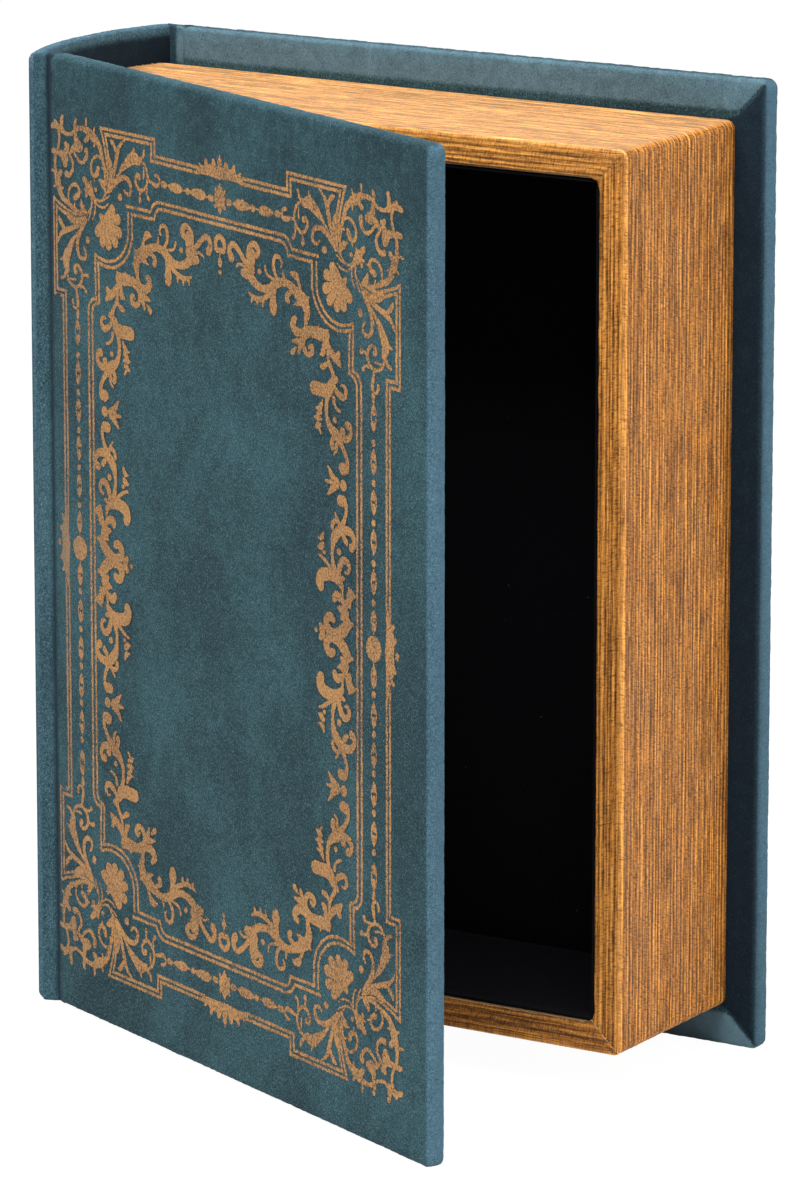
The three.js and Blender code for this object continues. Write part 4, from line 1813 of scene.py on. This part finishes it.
def side_chain(x: float = 1113, first: float = 1095, last: float = 1748) -> tuple[Stroke, ...]:
    """The chain of beads and open spindles along the side band.

    Args:
        x: The chain's line.
        first: The first bead's place below the corner.
        last: The last bead's place.

    Returns:
        Its strokes.
    """
    gaps = 4
    pitch = (last - first) / gaps
    beads = [first + pitch * index for index in range(gaps)]
    made = [bead(x, HALF_HEIGHT, 55, 55), swept((1110, 905, 26), (1112, 925, 22)),
            swept((x, 1870, 8), (x, 1885, 8))]
    starts = [945.0, *(y + 34 for y in beads), last + 34]
    ends = [1042.0, *(y + 122 for y in beads), 1862.0]
    for top, bottom in zip(starts, ends):
        middle = (top + bottom) / 2
        made.append(swept((x, top - 6, 10), (x, top + 8, 34), (x, top + 22, 36)))
        made.append(swept((x, bottom - 22, 34), (x, bottom - 8, 32), (x, bottom + 6, 10)))
        for side in (-1, 1):
            made.append(swept((x + 14 * side, top + 20, 12), (x + 17 * side, middle, 9),
                              (x + 13 * side, bottom - 20, 12)))
    made += [bead(x, first + pitch * index, 15, 16) for index in range(gaps + 1)]
    return tuple(made)


HALF_CORNER = (
    swept((905, 395, 10), (850, 345, 14), (800, 300, 14), (765, 265, 18), (745, 245, 30),
          (700, 215, 48), (665, 195, 58), (640, 195, 50), (615, 200, 40), (600, 190, 22),
          (585, 178, 20), (575, 155, 18)),
    swept((670, 195, 30), (660, 170, 22), (653, 148, 8)),
    swept((600, 200, 14), (570, 215, 18), (552, 245, 18), (552, 280, 18), (570, 308, 18),
          (600, 322, 20), (632, 308, 20), (645, 280, 18), (632, 262, 24), (618, 268, 30)),
    swept((580, 225, 10), (580, 255, 14), (582, 268, 12)),
    swept((555, 310, 16), (555, 335, 14), (542, 350, 22)),
    swept((600, 322, 16), (612, 345, 14), (610, 365, 26)),
    swept((545, 272, 14), (510, 280, 22), (480, 285, 26), (462, 278, 16), (458, 258, 14),
          (475, 245, 20), (490, 244, 16)),
    swept((850, 350, 30), (830, 335, 30), (800, 310, 30), (770, 295, 28), (735, 285, 26),
          (700, 292, 26), (680, 318, 24), (685, 345, 20), (710, 352, 18), (730, 338, 14)),
    swept((850, 330, 20), (820, 290, 26), (800, 240, 26), (785, 190, 30), (760, 150, 20),
          (730, 130, 12)),
    swept((835, 300, 20), (840, 250, 40), (855, 215, 30)),
    swept((790, 190, 20), (805, 165, 24), (822, 148, 28), (835, 142, 16)),
    swept((880, 345, 14), (885, 270, 22), (905, 215, 26), (930, 165, 32), (950, 150, 36),
          (985, 135, 50), (1020, 118, 36), (1060, 112, 24), (1100, 118, 24)),
    swept((960, 150, 24), (965, 175, 14)),
    swept((1005, 135, 30), (1030, 158, 30)),
    swept((975, 125, 20), (962, 100, 12)),
    swept((1030, 110, 16), (1030, 85, 18), (1028, 70, 14)),
    swept((1112, 130, 26), (1115, 95, 26), (1112, 85, 24)),
    swept((895, 235, 18), (925, 218, 14), (960, 222, 18), (985, 245, 16), (992, 270, 18),
          (980, 300, 20), (955, 300, 26), (938, 275, 30), (935, 268, 26)),
    swept((962, 300, 20), (966, 325, 8)),
    swept((880, 265, 16), (910, 265, 12)),
    swept((880, 360, 20), (900, 330, 40), (930, 318, 12)),
    bead(958, 360, 12, 12),
    swept((850, 375, 10), (890, 395, 12), (930, 405, 14), (970, 395, 12), (1000, 385, 10)),
    swept((860, 410, 10), (900, 430, 12), (940, 425, 12), (965, 405, 12)),
    swept((1110, 125, 24), (1150, 145, 18), (1185, 150, 18), (1220, 135, 26)),
    swept((1222, 140, 30), (1222, 95, 28), (1218, 82, 26)),
    swept((1110, 140, 24), (1108, 170, 40), (1095, 190, 60)),
    bead(1075, 195, 20, 20),
    swept((1105, 195, 40), (1140, 210, 26), (1150, 220, 24)),
    swept((1130, 215, 16), (1105, 240, 18), (1070, 258, 20), (1040, 245, 22), (1025, 215, 28),
          (1028, 205, 34)),
    bead(765, 370, 18, 17),
)

CORNER_AXIS = (
    swept((960, 410, 14), (990, 380, 40), (1012, 358, 62), (1030, 340, 30), (1046, 326, 30)),
    swept((1005, 350, 20), (995, 332, 14)),
    swept((1030, 375, 20), (1048, 372, 12)),
    swept((1240, 125, 16), (1275, 110, 26)),
    bead(1190, 195, 14, 14),
    swept((915, 470, 30), (880, 500, 50)),
    *(swept((900 + 0.15 * (x - 900), 480 + 0.15 * (y - 480), 18),
            (900 + 0.55 * (x - 900), 480 + 0.55 * (y - 480), 38),
            (900 + 0.86 * (x - 900), 480 + 0.86 * (y - 480), 50))
      for x, y in ((815, 425), (765, 465), (755, 530), (790, 580), (850, 600), (905, 590),
                   (950, 545))),
)

TOP_GARLAND = (
    swept((0, 428, 26), (24, 440, 28), (34, 462, 26), (24, 484, 28), (4, 482, 20)),
    swept((0, 480, 10), (0, 515, 8)),
    swept((0, 515, 12), (0, 535, 40), (0, 552, 14)),
    bead(0, 575, 12, 12),
    swept((85, 500, 44), (75, 460, 30), (100, 445, 30), (135, 460, 28), (165, 485, 28),
          (190, 510, 30), (200, 530, 40)),
    swept((215, 520, 40), (228, 490, 70), (235, 470, 60)),
    swept((210, 480, 30), (215, 445, 26), (245, 422, 28), (275, 430, 34), (285, 450, 34),
          (268, 466, 30)),
    swept((190, 530, 14), (155, 518, 14), (125, 530, 16)),
    swept((175, 550, 40), (215, 545, 60), (235, 530, 50)),
    bead(295, 528, 14, 14),
    swept((215, 545, 50), (250, 575, 44), (300, 592, 34), (350, 590, 36), (400, 570, 44),
          (440, 550, 40), (490, 545, 34), (540, 560, 44), (580, 580, 60), (620, 600, 60),
          (640, 640, 50), (632, 680, 30), (625, 710, 24), (600, 730, 30)),
    swept((480, 545, 30), (470, 515, 18), (468, 500, 8)),
    swept((590, 560, 30), (580, 530, 20), (560, 505, 40), (535, 500, 30), (518, 505, 10)),
    swept((560, 570, 30), (520, 580, 24), (495, 600, 30), (500, 615, 34)),
    swept((610, 600, 40), (640, 590, 30), (655, 578, 10)),
    swept((640, 640, 30), (668, 638, 10)),
    swept((590, 605, 40), (560, 620, 16), (545, 625, 6)),
    swept((420, 545, 14), (380, 540, 16), (350, 530, 14), (335, 500, 14)),
    swept((440, 545, 20), (410, 520, 22), (398, 480, 24), (410, 450, 22), (440, 448, 20),
          (458, 465, 18), (450, 485, 14)),
    swept((395, 590, 50), (395, 625, 40), (395, 650, 60), (395, 670, 50)),
    swept((370, 610, 30), (340, 625, 24), (300, 640, 26), (250, 640, 24), (215, 625, 12)),
    swept((320, 645, 24), (318, 665, 12)),
    swept((280, 650, 24), (278, 670, 10)),
    swept((240, 648, 24), (235, 662, 12)),
)

CORNER_GARLAND = (
    swept((700, 715, 50), (650, 720, 40), (600, 732, 36), (560, 730, 44), (538, 700, 42),
          (555, 682, 30)),
    swept((620, 722, 36), (680, 712, 44), (730, 715, 60), (780, 715, 50)),
    swept((725, 705, 30), (727, 680, 10)),
    swept((770, 710, 50), (792, 692, 14)),
    swept((770, 730, 40), (800, 765, 36), (840, 795, 40), (870, 810, 36), (880, 820, 20)),
    swept((850, 800, 40), (868, 775, 30)),
    swept((650, 735, 24), (620, 750, 30), (618, 790, 30), (650, 812, 28), (680, 795, 30),
          (675, 775, 26), (655, 785, 16)),
    swept((610, 765, 30), (570, 770, 30), (535, 775, 14)),
    swept((590, 790, 30), (580, 815, 20)),
    swept((560, 800, 14), (535, 820, 30)),
    swept((760, 755, 20), (755, 785, 40), (740, 795, 20)),
    swept((790, 820, 16), (765, 840, 30), (745, 845, 24)),
    swept((790, 780, 20), (800, 824, 24), (820, 850, 24), (835, 875, 30)),
    swept((850, 882, 30), (820, 900, 40), (800, 930, 60), (770, 940, 60), (720, 940, 60),
          (690, 940, 60)),
    swept((840, 915, 24), (870, 940, 34), (905, 945, 30), (920, 920, 26), (905, 900, 18),
          (885, 902, 12)),
    swept((832, 962, 24), (838, 985, 18), (865, 1005, 18), (880, 1008, 14)),
)

SIDE_GARLAND = (
    swept((790, 960, 30), (780, 1000, 26), (785, 1050, 28), (810, 1085, 40), (845, 1105, 56),
          (870, 1125, 56), (890, 1145, 30), (915, 1175, 26), (930, 1210, 28), (915, 1235, 40),
          (900, 1240, 50)),
    bead(840, 1048, 14, 14),
    swept((860, 1115, 50), (900, 1115, 36), (940, 1105, 34), (955, 1080, 28), (945, 1055, 30),
          (930, 1055, 40)),
    bead(895, 1085, 18, 18),
    swept((750, 985, 14), (735, 1010, 30), (700, 1020, 8)),
    swept((735, 1030, 30), (715, 1045, 20)),
    swept((740, 1060, 20), (715, 1060, 30), (695, 1058, 10)),
    swept((735, 1085, 20), (715, 1092, 34), (700, 1100, 12)),
    swept((725, 1100, 16), (738, 1118, 14)),
    swept((845, 1120, 24), (820, 1135, 30), (822, 1160, 34)),
    swept((850, 1150, 24), (845, 1180, 18), (835, 1188, 16)),
    bead(905, 1235, 38, 25),
    bead(900, 1305, 24, 24),
    swept((870, 1305, 10), (890, 1305, 10)),
    swept((860, 1303, 30), (820, 1306, 26), (775, 1306, 14)),
    swept((855, 1295, 30), (820, 1280, 34), (800, 1255, 20), (790, 1245, 12)),
    swept((855, 1315, 30), (820, 1332, 34), (800, 1350, 20), (790, 1360, 12)),
    bead(890, 1370, 36, 24),
)

LOWER_GARLAND = (
    swept((915, 1375, 30), (922, 1400, 24), (912, 1435, 24), (890, 1475, 34), (860, 1505, 50),
          (835, 1530, 50), (822, 1570, 28), (820, 1610, 22), (830, 1650, 34), (840, 1675, 40)),
    swept((880, 1495, 44), (920, 1485, 40), (960, 1495, 36), (978, 1520, 28), (968, 1545, 36),
          (958, 1550, 40)),
    swept((905, 1520, 30), (920, 1535, 30)),
    swept((870, 1465, 24), (830, 1465, 24), (820, 1490, 26)),
    swept((860, 1450, 16), (840, 1430, 14)),
    swept((755, 1525, 16), (745, 1545, 30), (730, 1550, 20), (718, 1550, 8)),
    swept((750, 1575, 30), (735, 1585, 34), (715, 1588, 10)),
    bead(760, 1605, 11, 11),
    swept((725, 1620, 14), (760, 1632, 20), (790, 1650, 20), (820, 1670, 20)),
    bead(868, 1583, 16, 16),
    swept((865, 1680, 30), (875, 1640, 36), (900, 1612, 34), (930, 1615, 30), (942, 1640, 26),
          (925, 1660, 20), (912, 1660, 14)),
    swept((870, 1700, 24), (895, 1688, 26), (905, 1685, 16)),
    swept((890, 1730, 24), (870, 1705, 44), (830, 1690, 50), (780, 1690, 56), (740, 1705, 60),
          (730, 1735, 56), (735, 1745, 50)),
    swept((890, 1720, 30), (895, 1760, 12), (905, 1790, 20)),
    swept((905, 1795, 24), (880, 1772, 36), (845, 1768, 44), (835, 1780, 36)),
    swept((920, 1800, 30), (935, 1770, 40), (955, 1745, 60), (975, 1745, 30), (990, 1748, 8)),
    bead(940, 1718, 7, 7),
    swept((945, 1780, 30), (945, 1795, 20)),
    swept((900, 1820, 50), (875, 1815, 30), (855, 1812, 8)),
    swept((915, 1830, 50), (890, 1850, 30)),
    swept((930, 1870, 50), (965, 1865, 20)),
    swept((930, 1870, 56), (900, 1900, 60), (850, 1925, 50), (800, 1925, 50), (775, 1890, 44),
          (790, 1865, 44), (825, 1868, 36)),
    swept((745, 1925, 44), (735, 1912, 30)),
    bead(700, 1936, 12, 12),
)


@dataclass
class GiltFrame:
    """The scrollwork frame printed on the front cover: one quarter, mirrored both ways.

    A drawing unit is a sixteenth of a millimetre. X runs outwards from the frame's middle, Y down
    from its top.
    """

    layout: Layout
    finishes: FinishSet
    wrap: ClothWrap
    centre_x: float = 82.7
    centre_z: float = 129.7
    unit: float = 1 / 16
    lift: float = 0.05
    layer: float = 0.0008
    step: float = 7.0
    dip: float = 0.9

    def build(self) -> list[bpy.types.Object]:
        """Builds the print as one film.

        Returns:
            The piece.
        """
        bm = bmesh.new()
        for name in ("side", "half", "dull"):
            bm.verts.layers.float.new(name)
        layers = tuple(bm.verts.layers.float[name] for name in ("side", "half", "dull"))
        for index, stroke in enumerate(self._quarter()):
            outline = stroke.outline(self.step)
            for number, (way_x, way_z) in enumerate(self._mirrors(stroke)):
                level = self.lift + self.layer * (index + 0.25 * number)
                self._lay(bm, outline, (way_x, way_z), level, layers)
        face_front(bm)
        placed(bm, self.layout.on_cover())
        piece = as_piece("gilt_frame_print", bm, [self.finishes.print_ink])
        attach(piece, COVER)
        return [piece]

    @staticmethod
    def _quarter() -> list[Stroke]:
        """Every stroke of one quarter, from the lowest layer to the highest."""
        corner = [*HALF_CORNER, *(stroke.across_diagonal() for stroke in HALF_CORNER), *CORNER_AXIS]
        return [*RULES, *TOP_CREST, *SIDE_CREST, *TOP_CHAIN, *side_chain(), *corner,
                *TOP_GARLAND, *CORNER_GARLAND, *SIDE_GARLAND, *LOWER_GARLAND]

    def _mirrors(self, stroke: Stroke) -> list[tuple[int, int]]:
        """The ways that a stroke is mirrored, without the ones that would repeat it."""
        ways_x = (1,) if all(x < 1 for x, _, _ in stroke.points) else (1, -1)
        ways_z = (1,) if all(y > HALF_HEIGHT - 1 for _, y, _ in stroke.points) else (1, -1)
        return [(way_x, way_z) for way_x in ways_x for way_z in ways_z]

    def _lay(self, bm: bmesh.types.BMesh, outline: list[tuple[Vector, Vector, float]],
             ways: tuple[int, int], level: float, layers: tuple[Any, Any, Any]) -> None:
        """Lays one stroke on the cover as a strip.

        Args:
            bm: The film.
            outline: The stroke's borders and half widths.
            ways: Whether it is mirrored along each way.
            level: How far it lies off the velvet.
            layers: The points' layers: the place across the stroke, half its width, its dullness.
        """
        count = len(outline) - 1
        strip = bmesh.ops.create_grid(bm, x_segments=count, y_segments=1, size=1.0)["verts"]
        for vert in strip:
            left, right, half = outline[round((vert.co.x + 1) / 2 * count)]
            across = 1.0 if vert.co.y > 0 else -1.0
            border = left if across > 0 else right
            x = self.centre_x + ways[0] * border.x * self.unit
            z = self.centre_z + ways[1] * (HALF_HEIGHT - border.y) * self.unit
            z -= self.dip * fade(x, 0, 50) * ease((z - 150) / 80)
            vert[layers[0]] = across
            vert[layers[1]] = half * self.unit
            midway = ease((z - 50) / 40) * ease((215 - z) / 40)
            vert[layers[2]] = fade(x, 3, 18) * (0.35 + 0.65 * midway)
            vert.co = (x, self.wrap.face_level(x) - level, z)


# Linings


@dataclass
class Linings:
    """The black velvet panels inside the tray and inside the front cover."""

    layout: Layout
    finishes: FinishSet
    cell: float = 6.0
    seam: float = 0.06

    PANELS = {
        "lining_floor": 1,
        "lining_top": 2,
        "lining_bottom": 2,
        "lining_fore_edge": 0,
        "lining_spine": 0,
    }

    def build(self) -> list[bpy.types.Object]:
        """Builds every panel.

        Returns:
            The pieces.
        """
        return [*(self.panel(node, axis) for node, axis in self.PANELS.items()), self.cover_sheet()]

    def _soft_panel(self, size: Vector, thin: int, seed: float) -> bmesh.types.BMesh:
        """A thin card under velvet, with softened borders and a slightly uneven face.

        Args:
            size: Its size along each axis.
            thin: The axis of its thickness.
            seed: Sets its unevenness.

        Returns:
            The panel, with its lowest corner at the origin.
        """
        bm = bmesh.new()
        bmesh.ops.create_cube(bm, size=1.0)
        bmesh.ops.translate(bm, vec=(0.5, 0.5, 0.5), verts=bm.verts)
        bmesh.ops.scale(bm, vec=size, verts=bm.verts)
        soften(bm, bm.edges[:], 0.32 * size[thin], 2)
        others = [axis for axis in (0, 1, 2) if axis != thin]
        for axis in others:
            score_evenly(bm, axis, 0, size[axis], self.cell)
        fold = bm.verts.layers.float.new("fold")
        for vert in bm.verts:
            rim = min(min(vert.co[axis], size[axis] - vert.co[axis]) for axis in others)
            # A faint highlight painted along the panel's borders.
            vert[fold] = fade(rim, 0, 1.2)
            vert.co[thin] += waver(vert.co, 22, seed)[thin] * 0.1 * ease(rim / 3)
        return bm

    def panel(self, node: str, thin: int) -> bpy.types.Object:
        """A panel of the tray in the space of its node.

        Args:
            node: The node that it stands for.
            thin: The axis of its thickness.

        Returns:
            The piece.
        """
        low, high = (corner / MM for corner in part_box(node))
        bm = self._soft_panel(high - low, thin, seed=len(node) * 1.7 + thin)
        bmesh.ops.translate(bm, vec=low, verts=bm.verts)
        name = node.replace("lining_", "") + "_lining_cloth"
        piece = as_piece(name, bm, [self.finishes.lining_velvet])
        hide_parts(node)
        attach(piece, CASE)
        flat = [side * MM for axis, side in enumerate(high - low) if axis != thin]
        bed = "tray_floor" if thin == 1 else "page_edge_wrap"
        return piece

    def cover_sheet(self) -> bpy.types.Object:
        """The black sheet inside the front cover, between its turn-ins."""
        layout = self.layout
        left, clearance = layout.joint_lap + self.seam, layout.turn_in + self.seam
        size = Vector((layout.front_length - clearance - left, layout.cloth + 0.1,
                       layout.height - 2 * clearance))
        bm = self._soft_panel(size, 1, seed=31.0)
        inner_face = layout.cover_thickness - layout.cloth
        bmesh.ops.translate(bm, vec=(left, inner_face, clearance), verts=bm.verts)
        layout.sink(bm)
        placed(bm, layout.on_cover())
        piece = as_piece("front_cover_lining_cloth", bm, [self.finishes.lining_velvet])
        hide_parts("front_lining")
        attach(piece, COVER)
        return piece


# Boards


@dataclass
class Boards:
    """The hidden boards, which keep their own solids and get their finish here."""

    frame: dict[str, Any]
    finishes: FinishSet

    def dress(self) -> list[bpy.types.Object]:
        """Gives each board its finish.

        Returns:
            The boards.
        """
        dressed = []
        for name, node in sorted(self.frame["nodes"].items()):
            if name.endswith("_board"):
                finish = self.finishes.cover_board
            elif name.startswith("tray_"):
                finish = self.finishes.tray_board
            else:
                continue
            node.data.materials.clear()
            node.data.materials.append(finish)
            dressed.append(node)
        return dressed


# Studio


@dataclass
class Softbox:
    """A large soft lamp that points at the box."""

    name: str
    azimuth: float
    elevation: float
    distance: float
    size: float
    power: float

    def hang(self, target: Vector) -> bpy.types.Object:
        """Hangs the lamp.

        Args:
            target: What it points at, in metres.

        Returns:
            The lamp.
        """
        data = bpy.data.lights.new(self.name, "AREA")
        data.shape = "SQUARE"
        data.size = self.size
        data.energy = self.power
        lamp = bpy.data.objects.new(self.name, data)
        bpy.context.scene.collection.objects.link(lamp)
        back = direction(self.azimuth, self.elevation)
        lamp.location = target + back * self.distance
        lamp.rotation_mode = "QUATERNION"
        lamp.rotation_quaternion = (-back).to_track_quat("-Z", "Y")
        return lamp


def direction(azimuth: float, elevation: float) -> Vector:
    """The way from the object to a viewpoint.

    Args:
        azimuth: Degrees round the object; 0 looks along +Y.
        elevation: Degrees above the horizon.

    Returns:
        A unit vector.
    """
    turn, rise = math.radians(azimuth), math.radians(elevation)
    flat = math.cos(rise)
    return Vector((math.sin(turn) * flat, -math.cos(turn) * flat, math.sin(rise)))


@dataclass
class Studio:
    """The camera at the photograph's angle, soft lamps and a pale floor."""

    azimuth: float = 31.827
    elevation: float = 13.096
    eye: tuple[float, float, float] = (0.93897, -1.46948, 0.52920)
    focal_length: float = 205.58
    film_height: float = 36.0
    ambient: float = 0.3
    floor_glow: float = 1.06
    floor_white_share: float = 0.92

    def build(self) -> None:
        """Sets up the camera, the lamps, the world and the floor."""
        self._camera()
        self._world()
        self._floor()
        target = Vector((0, 0, 0.13))
        for softbox in (
            Softbox("overhead_softbox", 8, 72, distance=1.5, size=1.1, power=42),
            Softbox("front_left_softbox", -25, 10, distance=1.9, size=1.2, power=6),
            Softbox("right_side_softbox", 108, 20, distance=1.7, size=0.9, power=13),
        ):
            softbox.hang(target)
        bpy.context.scene.view_settings.view_transform = "Standard"

    def _camera(self) -> None:
        """Puts the camera where the photograph was taken from."""
        data = bpy.data.cameras.new("camera")
        data.lens = self.focal_length
        data.sensor_width = self.film_height
        data.clip_start, data.clip_end = 0.05, 50
        camera = bpy.data.objects.new("camera", data)
        bpy.context.scene.collection.objects.link(camera)
        camera.location = self.eye
        camera.rotation_mode = "QUATERNION"
        view = -direction(self.azimuth, self.elevation)
        camera.rotation_quaternion = view.to_track_quat("-Z", "Y")
        bpy.context.scene.camera = camera

    def _world(self) -> None:
        """A dim grey light all round, and white where the camera or a reflection sees it."""
        world = bpy.data.worlds.new("studio")
        bpy.context.scene.world = world
        world.use_nodes = True
        tree = world.node_tree
        tree.nodes.clear()
        path = tree.nodes.new("ShaderNodeLightPath")
        seen = path.outputs["Is Camera Ray"]
        for kind in ("Is Glossy Ray", "Is Transmission Ray"):
            either = tree.nodes.new("ShaderNodeMath")
            either.operation = "MAXIMUM"
            tree.links.new(seen, either.inputs[0])
            tree.links.new(path.outputs[kind], either.inputs[1])
            seen = either.outputs[0]
        dim, white, mixed = (tree.nodes.new(kind) for kind in (
            "ShaderNodeBackground", "ShaderNodeBackground", "ShaderNodeMixShader"))
        dim.inputs["Strength"].default_value = self.ambient
        dim.inputs["Color"].default_value = (1, 1, 1, 1)
        white.inputs["Color"].default_value = (1, 1, 1, 1)
        tree.links.new(seen, mixed.inputs[0])
        tree.links.new(dim.outputs[0], mixed.inputs[1])
        tree.links.new(white.outputs[0], mixed.inputs[2])
        tree.links.new(mixed.outputs[0], tree.nodes.new("ShaderNodeOutputWorld").inputs[0])

    def _floor(self) -> None:
        """A white floor that keeps a faint shadow under the box."""
        bm = bmesh.new()
        bmesh.ops.create_grid(bm, x_segments=2, y_segments=2, size=20.0 / MM)
        graph = Graph("white_floor")
        path = graph.node("ShaderNodeLightPath", {}, {})
        paint = graph.node("ShaderNodeBsdfDiffuse", {}, {"Color": (0.86, 0.86, 0.86, 1)})
        light = {"Color": (1, 1, 1, 1), "Strength": self.floor_glow}
        glow = graph.node("ShaderNodeEmission", {}, light)
        seen = Value(graph, path.outputs["Is Camera Ray"]) * self.floor_white_share
        shaders = {0: seen, 1: paint.outputs[0], 2: glow.outputs[0]}
        mixed = graph.node("ShaderNodeMixShader", {}, shaders)
        graph.node("ShaderNodeOutputMaterial", {}, {"Surface": mixed.outputs[0]})
        floor = as_piece("floor", bm, [graph.material])


def main() -> None:
    """Builds the looks in order and reports each piece."""
    logging.basicConfig(level=logging.INFO, format="%(name)s: %(message)s")
    noise.seed_set(NOISE_SEED)
    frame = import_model()
    layout = Layout.of(frame)
    finishes = FinishSet.mixed(cover_turn=layout.open_angle)
    case = VelvetCase(layout, finishes)
    pieces = [
        *Boards(frame, finishes).dress(),
        *case.build(),
        *GiltFrame(layout, finishes, case.front_wrap).build(),
        *PageEdges(layout, finishes).build(),
        *Linings(layout, finishes).build(),
    ]
    for piece in pieces:
        LOG.info("%s: %d faces", piece.name, len(piece.data.polygons))
    Studio().build()


if __name__ == "__main__":
    main()
